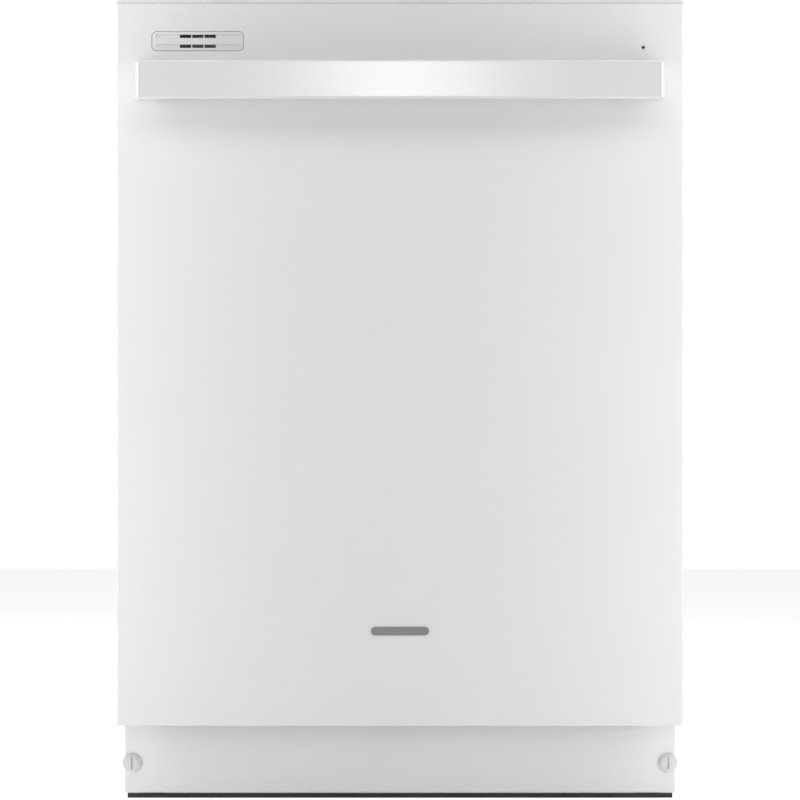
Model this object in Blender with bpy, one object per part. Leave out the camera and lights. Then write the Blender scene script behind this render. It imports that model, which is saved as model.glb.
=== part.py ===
"""Built-in dishwasher: white drop-down door, towel-bar handle, steel tub, two racks, base frame.

Metres, +Z up, front towards -Y, +X to the right of someone who faces the door.
The origin is at the centre of the footprint, on the floor.
"""

import math

import bmesh
import bpy
from mathutils import Matrix, Vector

# ---- driving dimensions ---------------------------------------------------------------------

HEIGHT = 0.860
DOOR_HALF = 0.303
DOOR_BOTTOM = 0.0846
FACE_Y = -0.2885            # front face of the door
BACK_Y = 0.3335             # back of the insulation blanket
HANDLE_REACH = 0.045
GAP = 0.0003                # between pieces that touch

PANEL_SHEET = 0.0012
PANEL_DEPTH = 0.030
PANEL_TOP = 0.8565
PANEL_FOLD = 0.0025

LINER_HALF = 0.2885
LINER_FACE_Y = -0.2285      # inner face of the door, towards the tub
LINER_BOTTOM = 0.1075
LINER_TOP = 0.7920
LINER_SHEET = 0.0010

HINGE_Y = -0.2525
HINGE_Z = 0.125

TUB_HALF = 0.280
TUB_SHEET = 0.0015
TUB_FRONT_Y = -0.2205
TUB_BACK_Y = 0.3215
TUB_BOTTOM = 0.148
TUB_TOP = 0.840
FLANGE_HALF = 0.288
BLANKET_HALF = 0.2905
BLANKET_TOP = 0.851
BLANKET_FRONT_Y = -0.185
BLANKET_BOTTOM = 0.160

FRAME_HALF = 0.2885
FRAME_SHEET = 0.0025
FRAME_FRONT_Y = -0.200
FRAME_BACK_Y = 0.320
FRAME_BOTTOM = 0.030
FRAME_TOP = 0.146

TOE_HALF = 0.299
TOE_Y = -0.2125
TOE_TOP = 0.0842
TOE_BOTTOM = 0.0062
FASTENER_X = 0.291
FASTENER_Z = 0.039
FASTENER_RADIUS = 0.0105

HANDLE_Z = 0.7726
HANDLE_HEIGHT = 0.0406
HANDLE_THICK = 0.014
HANDLE_BAR_HALF = 0.2757
HANDLE_END_X = 0.281
HANDLE_CROWN = 0.006

VENT_X = (-0.2646, -0.1674)
VENT_Z = (0.8061, 0.8258)
VENT_CORNER = 0.005
LAMP_X = 0.2598
LAMP_Z = 0.8093
LAMP_RADIUS = 0.0013

SPRAY_Y = 0.030             # spray arms, sump and filter share this centre
SUMP_RADIUS = 0.092
FILTER_CUP_Y = SPRAY_Y - 0.052
FILTER_CUP_RADIUS = 0.031
LOWER_ARM_Z = 0.186
UPPER_ARM_Z = 0.486
LOWER_ARM_REACH = 0.215
UPPER_ARM_REACH = 0.205

RACK_WIRE = 0.0045
LOWER_RACK_HALF = 0.257
LOWER_RACK_Y = (-0.190, 0.285)
LOWER_RACK_Z = (0.208, 0.385)
RACK_WHEEL_RADIUS = 0.0175
RACK_WHEEL_Z = 0.1765
RACK_WHEEL_YS = {"front": -0.1185, "rear": 0.235}
RACK_WHEEL_X = (0.2636, 0.2750)
UPPER_RACK_HALF = 0.243
UPPER_RACK_Y = (-0.190, 0.275)
UPPER_RACK_Z = (0.518, 0.645)
RAIL_Z = (0.598, 0.630)

LEG_X = 0.272
LEG_Y = -0.172
REAR_WHEEL_X = 0.262
REAR_WHEEL_Y = 0.285
REAR_WHEEL_RADIUS = 0.018

BUTTON_XS = {"start": 0.255, "cycle": 0.220, "dry": 0.185}
BUTTON_Y = -0.258
BUTTON_SIZE = (0.022, 0.011)

DISPENSER_CENTRE = (0.020, 0.505)
RINSE_CAP = (0.065, 0.540)
LATCH_Y = -0.238
LATCH_Z = 0.8505
FLOAT_X = -0.200
FLOAT_Y = -0.150

RACK_TRACK_Z = RACK_WHEEL_Z - RACK_WHEEL_RADIUS - 0.0004
RACK_TRACK_INSIDE = 0.2600
HEATER_RADIUS = 0.186
HEATER_WIRE = 0.004
HEATER_Z = 0.163
HEATER_END_XS = (-0.035, 0.035)
HEATER_END_Y = SPRAY_Y + math.sqrt(HEATER_RADIUS ** 2 - HEATER_END_XS[1] ** 2)
HEATER_END_Z = 0.122

HINGE_PLATE_X = (FRAME_HALF + GAP, FRAME_HALF + 0.0025)     # the fixed plate on the frame
HINGE_ARM_X = (0.2945, 0.2975)                              # the lever that turns with the door
HINGE_PIN_RADIUS = 0.0040
THROUGH = 0.01              # how far a cutter runs past the face that it opens


# ---- helpers --------------------------------------------------------------------------------

def clear_scene():
    for thing in list(bpy.data.objects):
        bpy.data.objects.remove(thing, do_unlink=True)


def material(name, colour, roughness, metallic=0.0):
    made = bpy.data.materials.new(name)
    made.use_nodes = True
    shader = made.node_tree.nodes["Principled BSDF"]
    shader.inputs["Base Color"].default_value = (*colour, 1.0)
    shader.inputs["Roughness"].default_value = roughness
    shader.inputs["Metallic"].default_value = metallic
    made.diffuse_color = (*colour, 1.0)
    return made


def link(name, bm):
    """A new object from a bmesh, which is freed."""
    mesh = bpy.data.meshes.new(name)
    bm.normal_update()
    bm.to_mesh(mesh)
    bm.free()
    made = bpy.data.objects.new(name, mesh)
    bpy.context.scene.collection.objects.link(made)
    return made


def box(low, high):
    bm = bmesh.new()
    size = Vector(high) - Vector(low)
    middle = (Vector(high) + Vector(low)) / 2
    matrix = Matrix.Translation(middle) @ Matrix.Diagonal((*size, 1.0))
    bmesh.ops.create_cube(bm, size=1.0, matrix=matrix)
    return link("box", bm)


def rod(start, end, radius, sides=12, end_radius=None):
    """A round bar or cone from start to end."""
    start, end = Vector(start), Vector(end)
    along = end - start
    turn = along.to_track_quat("Z", "Y").to_matrix().to_4x4()
    matrix = Matrix.Translation((start + end) / 2) @ turn
    far = radius if end_radius is None else end_radius
    bm = bmesh.new()
    bmesh.ops.create_cone(
        bm, cap_ends=True, segments=sides, radius1=radius, radius2=far, depth=along.length, matrix=matrix
    )
    return link("rod", bm)


def slab(points, axis, low, high):
    """A flat outline pushed out along an axis: points are (y, z) for X, (x, z) for Y, (x, y) for Z."""
    place = {
        "X": lambda a, b, t: (t, a, b),
        "Y": lambda a, b, t: (a, t, b),
        "Z": lambda a, b, t: (a, b, t),
    }[axis]
    bm = bmesh.new()
    near = [bm.verts.new(place(a, b, low)) for a, b in points]
    far = [bm.verts.new(place(a, b, high)) for a, b in points]
    bm.faces.new(near)
    bm.faces.new(far)
    count = len(points)
    for i in range(count):
        j = (i + 1) % count
        bm.faces.new((near[i], near[j], far[j], far[i]))
    bmesh.ops.recalc_face_normals(bm, faces=bm.faces)
    return link("slab", bm)


def rounded_outline(low, high, radius, steps=3):
    """The corners of a rectangle from low to high, rounded."""
    points = []
    corners = (
        (high[0] - radius, high[1] - radius, 0),
        (low[0] + radius, high[1] - radius, 90),
        (low[0] + radius, low[1] + radius, 180),
        (high[0] - radius, low[1] + radius, 270),
    )
    for a, b, start in corners:
        for k in range(steps + 1):
            angle = math.radians(start + 90 * k / steps)
            points.append((a + radius * math.cos(angle), b + radius * math.sin(angle)))
    return points


def turned(profile, centre, sides=20):
    """A closed solid of revolution about Z: profile is (radius, z) from the axis out and back."""
    bm = bmesh.new()
    rings = []
    for radius, z in profile:
        if radius < 1e-6:
            rings.append([bm.verts.new((centre[0], centre[1], z))])
            continue
        ring = []
        for k in range(sides):
            angle = 2 * math.pi * k / sides
            x = centre[0] + radius * math.cos(angle)
            y = centre[1] + radius * math.sin(angle)
            ring.append(bm.verts.new((x, y, z)))
        rings.append(ring)
    for near, far in zip(rings, rings[1:]):
        for k in range(sides):
            j = (k + 1) % sides
            if len(near) == 1:
                bm.faces.new((near[0], far[k], far[j]))
            elif len(far) == 1:
                bm.faces.new((near[k], near[j], far[0]))
            else:
                bm.faces.new((near[k], near[j], far[j], far[k]))
    bmesh.ops.recalc_face_normals(bm, faces=bm.faces)
    return link("turned", bm)


def tube(points, radius, resolution=2):
    """A bent bar of round section through the points."""
    curve = bpy.data.curves.new("tube", "CURVE")
    curve.dimensions = "3D"
    curve.bevel_depth = radius
    curve.bevel_resolution = resolution
    curve.use_fill_caps = True
    spline = curve.splines.new("POLY")
    spline.points.add(len(points) - 1)
    for point, place in zip(spline.points, points):
        point.co = (*place, 1.0)
    route = bpy.data.objects.new("route", curve)
    bpy.context.scene.collection.objects.link(route)
    bm = bmesh.new()
    bm.from_mesh(settled_mesh(route))
    bmesh.ops.remove_doubles(bm, verts=bm.verts, dist=0.00001)
    bmesh.ops.recalc_face_normals(bm, faces=bm.faces)
    bpy.data.objects.remove(route, do_unlink=True)
    return link("tube", bm)


def rounded_path(corners, radius, steps=4):
    """Points along straight runs whose corners are rounded to a radius."""
    corners = [Vector(c) for c in corners]
    points = [corners[0]]
    for before, here, after in zip(corners, corners[1:], corners[2:]):
        start = here + (before - here).normalized() * radius
        end = here + (after - here).normalized() * radius
        for k in range(steps + 1):
            t = k / steps
            points.append(start * (1 - t) ** 2 + here * 2 * t * (1 - t) + end * t ** 2)
    points.append(corners[-1])
    return points


def settled_mesh(thing):
    """The object's shape with its modifiers worked out, as a new mesh in world space."""
    graph = bpy.context.evaluated_depsgraph_get()
    mesh = bpy.data.meshes.new_from_object(thing.evaluated_get(graph), depsgraph=graph)
    mesh.transform(thing.matrix_world)
    return mesh


def combine(name, adds, cuts=()):
    """One solid: the union of adds, less cuts. The pieces it is made from are removed."""
    base = adds[0]
    for others, operation in ((adds[1:], "UNION"), (cuts, "DIFFERENCE")):
        for other in others:
            step = base.modifiers.new(operation.title(), "BOOLEAN")
            step.operation = operation
            step.object = other
            step.solver = "EXACT"
    mesh = settled_mesh(base)
    mesh.name = name
    made = bpy.data.objects.new(name, mesh)
    for piece in (*adds, *cuts):
        bpy.data.objects.remove(piece, do_unlink=True)
    bpy.context.scene.collection.objects.link(made)
    return made


def node(name, thing, finish, pivot=None, smooth=False):
    """Name a piece, give it its material, and put its origin on its pivot."""
    thing.name = name
    thing.data.name = name
    thing.data.materials.clear()
    thing.data.materials.append(finish)
    if pivot is not None:
        thing.data.transform(Matrix.Translation(-Vector(pivot)))
        thing.location = pivot
    if smooth:
        thing.data.shade_smooth()
        thing.data.set_sharp_from_angle(angle=math.radians(35))
    return thing


def copy_node(name, source, place):
    """A second piece of the same shape, elsewhere."""
    made = bpy.data.objects.new(name, source.data)
    made.location = place
    bpy.context.scene.collection.objects.link(made)
    return made


def mirror_node(name, source):
    """The same piece on the other side of the middle plane."""
    mesh = source.data.copy()
    mesh.transform(Matrix.Scale(-1, 4, (1, 0, 0)))
    mesh.flip_normals()
    made = bpy.data.objects.new(name, mesh)
    made.location = (-source.location.x, source.location.y, source.location.z)
    bpy.context.scene.collection.objects.link(made)
    return made


def axis_empty(name, place, children):
    """An empty on a joint's axis, which carries the pieces that turn or slide with it."""
    made = bpy.data.objects.new(name, None)
    bpy.context.scene.collection.objects.link(made)
    made.location = place
    for child in children:
        child.parent = made
        child.location = child.location - Vector(place)


# ---- materials ------------------------------------------------------------------------------

def make_materials():
    return {
        "white": material("white_enamel", (0.82, 0.82, 0.81), 0.28),
        "white_plastic": material("white_plastic", (0.80, 0.80, 0.79), 0.35),
        "grey_lip": material("lip_plastic", (0.62, 0.62, 0.62), 0.40),
        "black": material("black_plastic", (0.015, 0.015, 0.016), 0.45),
        "steel": material("stainless", (0.60, 0.60, 0.59), 0.32, 1.0),
        "zinc": material("zinc_plate", (0.55, 0.56, 0.57), 0.42, 1.0),
        "alloy": material("motor_alloy", (0.50, 0.51, 0.52), 0.48, 1.0),
        "rack": material("rack_nylon", (0.40, 0.42, 0.44), 0.45),
        "grey_plastic": material("grey_plastic", (0.35, 0.36, 0.37), 0.50),
        "pale_plastic": material("pale_plastic", (0.62, 0.64, 0.65), 0.45),
        "blue_plastic": material("cap_plastic", (0.10, 0.22, 0.45), 0.45),
        "rubber": material("seal_rubber", (0.03, 0.03, 0.03), 0.70),
        "felt": material("blanket_felt", (0.30, 0.30, 0.31), 0.95),
        "board": material("circuit_board", (0.03, 0.16, 0.07), 0.50),
        "smoke": material("lamp_lens", (0.01, 0.01, 0.012), 0.15),
    }


# ---- door -----------------------------------------------------------------------------------

def door_outer_panel(paint):
    """A folded sheet-metal front, open at the back and the top, notched below for the hinge plates."""
    bm = bmesh.new()
    back_y = FACE_Y + PANEL_DEPTH
    low = Vector((-DOOR_HALF, FACE_Y, DOOR_BOTTOM))
    high = Vector((DOOR_HALF, back_y, PANEL_TOP))
    size = high - low
    matrix = Matrix.Translation((low + high) / 2) @ Matrix.Diagonal((*size, 1.0))
    bmesh.ops.create_cube(bm, size=1.0, matrix=matrix)
    open_faces = [f for f in bm.faces if f.normal.y > 0.5 or f.normal.z > 0.5]
    bmesh.ops.delete(bm, geom=open_faces, context="FACES_ONLY")
    folds = [e for e in bm.edges if len(e.link_faces) == 2]
    bmesh.ops.bevel(bm, geom=folds, offset=PANEL_FOLD, segments=3, profile=0.5, affect="EDGES")
    shell = link("shell", bm)
    wall = shell.modifiers.new("Solidify", "SOLIDIFY")
    wall.thickness = PANEL_SHEET
    wall.offset = -1.0
    wall.use_even_offset = True
    clear = 0.0006
    outline = rounded_outline(
        (VENT_X[0] - clear, VENT_Z[0] - clear), (VENT_X[1] + clear, VENT_Z[1] + clear), VENT_CORNER + clear
    )
    vent_hole = slab(outline, "Y", FACE_Y - THROUGH, FACE_Y + THROUGH)
    lamp_ends = [(LAMP_X, FACE_Y + side * THROUGH, LAMP_Z) for side in (-1, 1)]
    lamp_hole = rod(*lamp_ends, LAMP_RADIUS + 0.0004)
    cuts = [vent_hole, lamp_hole]
    for side in (-1, 1):
        inside, outside = sorted((side * (HINGE_PLATE_X[0] - 0.0022), side * (HINGE_PLATE_X[1] + 0.0024)))
        notch_low = (inside, FACE_Y + 0.0045, DOOR_BOTTOM - THROUGH)
        cuts.append(box(notch_low, (outside, back_y + THROUGH, DOOR_BOTTOM + 0.004)))
    made = combine("door_outer_panel", [shell], cuts)
    return node("door_outer_panel", made, paint)


def door_inner_liner(steel):
    """A pressed steel pan that closes the tub, with a window for the dispenser."""
    front_y = FACE_Y + PANEL_DEPTH + 0.0007
    outline = rounded_outline((-LINER_HALF, LINER_BOTTOM), (LINER_HALF, LINER_TOP), 0.010)
    outer = slab(outline, "Y", front_y, LINER_FACE_Y)
    inner = slab(
        rounded_outline(
            (-LINER_HALF + LINER_SHEET, LINER_BOTTOM + LINER_SHEET),
            (LINER_HALF - LINER_SHEET, LINER_TOP - LINER_SHEET),
            0.009,
        ),
        "Y",
        front_y - THROUGH,
        LINER_FACE_Y - LINER_SHEET,
    )
    x, z = DISPENSER_CENTRE
    window = box(
        (x - 0.0935, LINER_FACE_Y - THROUGH, z - 0.0635), (x + 0.0935, LINER_FACE_Y + THROUGH, z + 0.0635)
    )
    made = combine("door_inner_liner", [outer], [inner, window])
    return node("door_inner_liner", made, steel)


def control_console(plastic):
    """The hollow top of the door: buttons on its upper face, the latch behind, a lip in front."""
    half = DOOR_HALF - PANEL_SHEET - 0.0006
    wall = 0.0025
    front = FACE_Y + PANEL_SHEET + GAP
    bottom = LINER_TOP + 0.0005
    outline = rounded_outline((-half, front), (half, LINER_FACE_Y), PANEL_FOLD)
    shell = slab(outline, "Z", bottom, HEIGHT)
    lip = box((-DOOR_HALF, FACE_Y, PANEL_TOP + GAP), (DOOR_HALF, LINER_FACE_Y - 0.004, HEIGHT))
    hollow = box(
        (-half + wall, front + wall, bottom - THROUGH), (half - wall, LINER_FACE_Y - wall, HEIGHT - 0.003)
    )
    duct = box(
        (VENT_X[0] + 0.002, front - THROUGH, VENT_Z[0] + 0.002),
        (VENT_X[1] - 0.002, front + THROUGH, VENT_Z[1] - 0.002),
    )
    lamp = rod((LAMP_X, front - THROUGH, LAMP_Z), (LAMP_X, front + THROUGH, LAMP_Z), LAMP_RADIUS + 0.0004)
    slot = box((-0.008, LINER_FACE_Y - THROUGH, 0.8425), (0.008, LINER_FACE_Y + THROUGH, 0.8562))
    cuts = [hollow, duct, lamp, slot]
    for x in BUTTON_XS.values():
        a, b = BUTTON_SIZE[0] / 2 + 0.0005, BUTTON_SIZE[1] / 2 + 0.0005
        cuts.append(box((x - a, BUTTON_Y - b, HEIGHT - THROUGH), (x + a, BUTTON_Y + b, HEIGHT + THROUGH)))
    made = combine("control_console", [shell, lip], cuts)
    return node("control_console", made, plastic)


def handle_bar(paint):
    """A flattened bar, crowned a little in plan, with softly rounded edges."""
    stations = 12
    front_y = FACE_Y - HANDLE_REACH
    section = rounded_outline(
        (-HANDLE_THICK / 2, -HANDLE_HEIGHT / 2), (HANDLE_THICK / 2, HANDLE_HEIGHT / 2), 0.0055, 3
    )
    bm = bmesh.new()
    rings = []
    for k in range(stations + 1):
        share = 2 * k / stations - 1
        x = HANDLE_BAR_HALF * share
        middle_y = front_y + HANDLE_THICK / 2 + HANDLE_CROWN * share * share
        rings.append([bm.verts.new((x, middle_y + a, HANDLE_Z + b)) for a, b in section])
    count = len(section)
    for near, far in zip(rings, rings[1:]):
        for k in range(count):
            j = (k + 1) % count
            bm.faces.new((near[k], near[j], far[j], far[k]))
    bm.faces.new(rings[0])
    bm.faces.new(rings[-1])
    bmesh.ops.recalc_face_normals(bm, faces=bm.faces)
    return node("handle_bar", link("handle_bar", bm), paint, smooth=True)


def handle_post(paint):
    """The right end piece: a block behind the bar and a cheek that closes the bar's end."""
    half = HANDLE_HEIGHT / 2 - 0.0020
    bar_back = FACE_Y - HANDLE_REACH + HANDLE_THICK + HANDLE_CROWN + GAP
    cheek_x = HANDLE_BAR_HALF + GAP
    foot_y = FACE_Y - GAP
    outline = [
        (0.2570, foot_y),
        (0.2600, bar_back),
        (cheek_x, bar_back),
        (cheek_x, bar_back - HANDLE_THICK + 0.0030),
        (HANDLE_END_X - 0.0018, bar_back - HANDLE_THICK + 0.0036),
        (HANDLE_END_X - 0.0004, bar_back - HANDLE_THICK + 0.0058),
        (HANDLE_END_X, bar_back - HANDLE_THICK + 0.0090),
        (HANDLE_END_X, foot_y),
    ]
    made = slab(outline, "Z", HANDLE_Z - half, HANDLE_Z + half)
    return node("handle_post_right", made, paint)


def vent_grille(plastic):
    """A snap-in grille: a rounded plate with two grooves, three slots in each, and a neck behind."""
    plate = slab(
        rounded_outline((VENT_X[0], VENT_Z[0]), (VENT_X[1], VENT_Z[1]), VENT_CORNER),
        "Y",
        FACE_Y - 0.0004,
        FACE_Y + 0.0012,
    )
    neck = box(
        (VENT_X[0] + 0.003, FACE_Y + 0.0005, VENT_Z[0] + 0.003),
        (VENT_X[1] - 0.003, FACE_Y + 0.016, VENT_Z[1] - 0.003),
    )
    middle_x = (VENT_X[0] + VENT_X[1]) / 2
    middle_z = (VENT_Z[0] + VENT_Z[1]) / 2
    cuts = []
    for side in (-1, 1):
        z = middle_z + side * 0.0053
        groove_low = (VENT_X[0] + 0.0040, FACE_Y - THROUGH, z - 0.0016)
        cuts.append(box(groove_low, (VENT_X[1] - 0.0035, FACE_Y + 0.002, z + 0.0016)))
        for k in range(3):
            x = middle_x + (k - 1) * 0.0132
            slot_low = (x - 0.0060, FACE_Y - THROUGH, z - 0.0012)
            cuts.append(box(slot_low, (x + 0.0060, FACE_Y + 0.03, z + 0.0012)))
    made = combine("vent_grille", [plate, neck], cuts)
    return node("vent_grille", made, plastic)


def indicator_lens(lens):
    made = rod((LAMP_X, FACE_Y - 0.0004, LAMP_Z), (LAMP_X, FACE_Y + 0.010, LAMP_Z), LAMP_RADIUS, 12)
    return node("indicator_lens", made, lens)


def detergent_dispenser(plastic):
    """A moulding let into the liner: a powder cup below, the rinse-aid filler above."""
    x, z = DISPENSER_CENTRE
    flange = slab(
        rounded_outline((x - 0.100, z - 0.070), (x + 0.100, z + 0.070), 0.012),
        "Y",
        LINER_FACE_Y + GAP,
        LINER_FACE_Y + 0.004,
    )
    body = box((x - 0.092, LINER_FACE_Y - 0.0255, z - 0.062), (x + 0.092, LINER_FACE_Y + 0.002, z + 0.062))
    cup = box((x - 0.088, LINER_FACE_Y - 0.0235, z - 0.056), (x - 0.014, LINER_FACE_Y + THROUGH, z - 0.006))
    cap_x, cap_z = RINSE_CAP
    filler = rod((cap_x, LINER_FACE_Y - 0.018, cap_z), (cap_x, LINER_FACE_Y + THROUGH, cap_z), 0.0160, 20)
    made = combine("detergent_dispenser", [flange, body], [cup, filler])
    return node("detergent_dispenser", made, plastic)


def detergent_lid(plastic):
    """A flat lid with a finger rib, which slides to the right off the cup."""
    x, z = DISPENSER_CENTRE
    y = LINER_FACE_Y + 0.004 + GAP
    plate = slab(
        rounded_outline((x - 0.093, z - 0.061), (x - 0.009, z - 0.002), 0.005, 2), "Y", y, y + 0.0022
    )
    rib = box((x - 0.084, y + 0.001, z - 0.050), (x - 0.080, y + 0.0060, z - 0.013))
    made = combine("detergent_lid", [plate, rib])
    return node("detergent_lid", made, plastic, pivot=(x - 0.051, y, z - 0.0315))


def rinse_aid_cap(plastic):
    """A round cap with a grip bar across it and a plug that reaches into the filler."""
    x, z = RINSE_CAP
    y = LINER_FACE_Y + 0.004 + GAP
    cap = rod((x, y, z), (x, y + 0.004, z), 0.0185, 20)
    plug = rod((x, y - 0.010, z), (x, y + 0.001, z), 0.0150, 20)
    grip = box((x - 0.0150, y + 0.003, z - 0.0025), (x + 0.0150, y + 0.010, z + 0.0025))
    made = combine("rinse_aid_cap", [cap, plug, grip])
    return node("rinse_aid_cap", made, plastic, pivot=(x, y, z))


def control_board(board):
    made = box((0.150, -0.279, 0.8370), (0.285, -0.236, 0.8386))
    return node("control_board", made, board)


def hinge_arm(zinc):
    """The right hinge lever: a strap up inside the door, a boss on the pin, and a tail behind."""
    low, high = HINGE_ARM_X
    strap = slab(
        [
            (FACE_Y + 0.008, 0.400),
            (FACE_Y + 0.008, 0.160),
            (HINGE_Y - 0.010, HINGE_Z - 0.004),
            (HINGE_Y + 0.008, HINGE_Z + 0.004),
            (FACE_Y + 0.026, 0.168),
            (FACE_Y + 0.026, 0.400),
        ],
        "X",
        low,
        high,
    )
    boss = rod((low, HINGE_Y, HINGE_Z), (high, HINGE_Y, HINGE_Z), 0.0115, 20)
    tail = slab(
        [
            (HINGE_Y, HINGE_Z + 0.008),
            (HINGE_Y, HINGE_Z - 0.009),
            (HINGE_Y + 0.044, HINGE_Z - 0.020),
            (HINGE_Y + 0.050, HINGE_Z - 0.014),
            (HINGE_Y + 0.048, HINGE_Z - 0.004),
        ],
        "X",
        low,
        high,
    )
    bore = rod((low - THROUGH, HINGE_Y, HINGE_Z), (high + THROUGH, HINGE_Y, HINGE_Z), 0.0046, 16)
    eye_y, eye_z = HINGE_Y + 0.042, HINGE_Z - 0.012
    eye = rod((low - THROUGH, eye_y, eye_z), (high + THROUGH, eye_y, eye_z), 0.0022, 8)
    made = combine("hinge_arm_right", [strap, boss, tail], [bore, eye])
    return node("hinge_arm_right", made, zinc, pivot=((low + high) / 2, HINGE_Y, HINGE_Z))


def door_insulation(felt):
    made = box((-0.265, FACE_Y + 0.0020, 0.140), (0.265, FACE_Y + 0.0230, 0.620))
    return node("door_insulation", made, felt)


def button(name, plastic):
    """A flat key flush with the console's top, on a stem."""
    x = BUTTON_XS[name]
    a, b = BUTTON_SIZE[0] / 2, BUTTON_SIZE[1] / 2
    top = HEIGHT - 0.0002
    outline = rounded_outline((x - a, BUTTON_Y - b), (x + a, BUTTON_Y + b), 0.002, 2)
    key = slab(outline, "Z", top - 0.0043, top)
    stem = box((x - 0.004, BUTTON_Y - 0.003, HEIGHT - 0.0180), (x + 0.004, BUTTON_Y + 0.003, HEIGHT - 0.004))
    made = combine("button_" + name, [key, stem])
    return node("button_" + name, made, plastic, pivot=(x, BUTTON_Y, top))


def latch_hook(zinc):
    """A hook on a cross pin, reaching back out of the console over the strike."""
    outline = [
        (LATCH_Y - 0.007, LATCH_Z - 0.0035),
        (LATCH_Y + 0.0215, LATCH_Z - 0.0017),
        (LATCH_Y + 0.0222, LATCH_Z - 0.0045),
        (LATCH_Y + 0.0255, LATCH_Z - 0.0045),
        (LATCH_Y + 0.0275, LATCH_Z + 0.0010),
        (LATCH_Y + 0.0220, LATCH_Z + 0.0035),
        (LATCH_Y - 0.007, LATCH_Z + 0.0035),
    ]
    blade = slab(outline, "X", -0.0060, 0.0060)
    pin = rod((-0.0150, LATCH_Y, LATCH_Z), (0.0150, LATCH_Y, LATCH_Z), 0.0022, 10)
    made = combine("latch_hook", [blade, pin])
    return node("latch_hook", made, zinc, pivot=(0, LATCH_Y, LATCH_Z))


# ---- tub ------------------------------------------------------------------------------------

def tub(steel):
    """A thin-walled box open at the front, with a flange round the mouth and a track each side."""
    sheet = TUB_SHEET
    outer = box((-TUB_HALF, TUB_FRONT_Y, TUB_BOTTOM), (TUB_HALF, TUB_BACK_Y, TUB_TOP))
    flange = box((-FLANGE_HALF, TUB_FRONT_Y, 0.139), (FLANGE_HALF, TUB_FRONT_Y + sheet, TUB_TOP))
    hollow = box(
        (-TUB_HALF + sheet, TUB_FRONT_Y - THROUGH, TUB_BOTTOM + sheet),
        (TUB_HALF - sheet, TUB_BACK_Y - sheet, TUB_TOP - sheet),
    )

    def floor_hole(x, y, radius, sides=12):
        return rod((x, y, TUB_BOTTOM - THROUGH), (x, y, TUB_BOTTOM + THROUGH), radius, sides)

    holes = [floor_hole(0, SPRAY_Y, SUMP_RADIUS, 28), floor_hole(FLOAT_X, FLOAT_Y, 0.0060)]
    holes += [floor_hole(x, HEATER_END_Y, HEATER_WIRE + 0.0016) for x in HEATER_END_XS]
    shell = combine("shell", [outer, flange], [hollow, *holes])
    tracks = []
    for side in (-1, 1):
        low, high = sorted((side * RACK_TRACK_INSIDE, side * (TUB_HALF - 0.0005)))
        track_low = (low, TUB_FRONT_Y + 0.004, TUB_BOTTOM + 0.0005)
        tracks.append(box(track_low, (high, TUB_BACK_Y - 0.02, RACK_TRACK_Z)))
    made = combine("tub", [shell, *tracks])
    return node("tub", made, steel)


def tub_gasket(rubber):
    """A round-section seal up the sides and over the top of the tub's mouth."""
    x, y, top, bottom = 0.2838, TUB_FRONT_Y - 0.0037, TUB_TOP - 0.0040, 0.1560
    corners = [(-x, y, bottom), (-x, y, top), (x, y, top), (x, y, bottom)]
    return node("tub_gasket", tube(rounded_path(corners, 0.018), 0.0033, 2), rubber, smooth=True)


def tub_blanket(felt):
    """A sound blanket over the tub's sides, top and back."""
    inside = TUB_HALF + 0.0006
    outer = box((-BLANKET_HALF, BLANKET_FRONT_Y, BLANKET_BOTTOM), (BLANKET_HALF, BACK_Y, BLANKET_TOP))
    hollow = box(
        (-inside, BLANKET_FRONT_Y - THROUGH, BLANKET_BOTTOM - THROUGH),
        (inside, TUB_BACK_Y + 0.0006, TUB_TOP + 0.0006),
    )
    made = combine("tub_blanket", [outer], [hollow])
    return node("tub_blanket", made, felt)


def countertop_bracket(zinc):
    """A folded bracket on the tub's top edge, whose upper face is screwed under the countertop."""
    x = 0.200
    y0, y1 = TUB_FRONT_Y + 0.001, BLANKET_FRONT_Y - 0.002
    z0, z1 = TUB_TOP + 0.0004, HEIGHT - 0.0005
    sheet = 0.0015
    outline = [
        (y0, z0),
        (y1, z0),
        (y1, z0 + sheet),
        (y0 + sheet, z0 + sheet),
        (y0 + sheet, z1 - sheet),
        (y1, z1 - sheet),
        (y1, z1),
        (y0, z1),
    ]
    body = slab(outline, "X", x - 0.020, x + 0.020)
    hole_y = y0 + 0.024
    hole = rod((x, hole_y, z1 - 0.005), (x, hole_y, z1 + 0.005), 0.0028)
    made = combine("countertop_bracket_right", [body], [hole])
    return node("countertop_bracket_right", made, zinc)


def rack_rail(steel):
    """A channel on the tub's right wall, open inwards, in which the upper rack runs."""
    low, high = RAIL_Z
    web = TUB_HALF - TUB_SHEET - GAP
    inner = 0.2580
    sheet = 0.0015
    outline = [
        (inner, low),
        (web, low),
        (web, high),
        (inner, high),
        (inner, high - sheet),
        (web - sheet, high - sheet),
        (web - sheet, low + sheet),
        (inner, low + sheet),
    ]
    made = slab(outline, "Y", -0.188, 0.290)
    return node("rack_rail_right", made, steel)


def latch_strike(zinc):
    """A plate on the tub's top edge with a raised lip for the hook."""
    front = TUB_FRONT_Y + 0.0005
    base = box((-0.016, front, TUB_TOP + 0.0004), (0.016, -0.192, TUB_TOP + 0.0018))
    lip = box((-0.012, front, TUB_TOP + 0.0010), (0.012, front + 0.0025, TUB_TOP + 0.0048))
    made = combine("latch_strike", [base, lip])
    return node("latch_strike", made, zinc)


# ---- wash system ----------------------------------------------------------------------------

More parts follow.
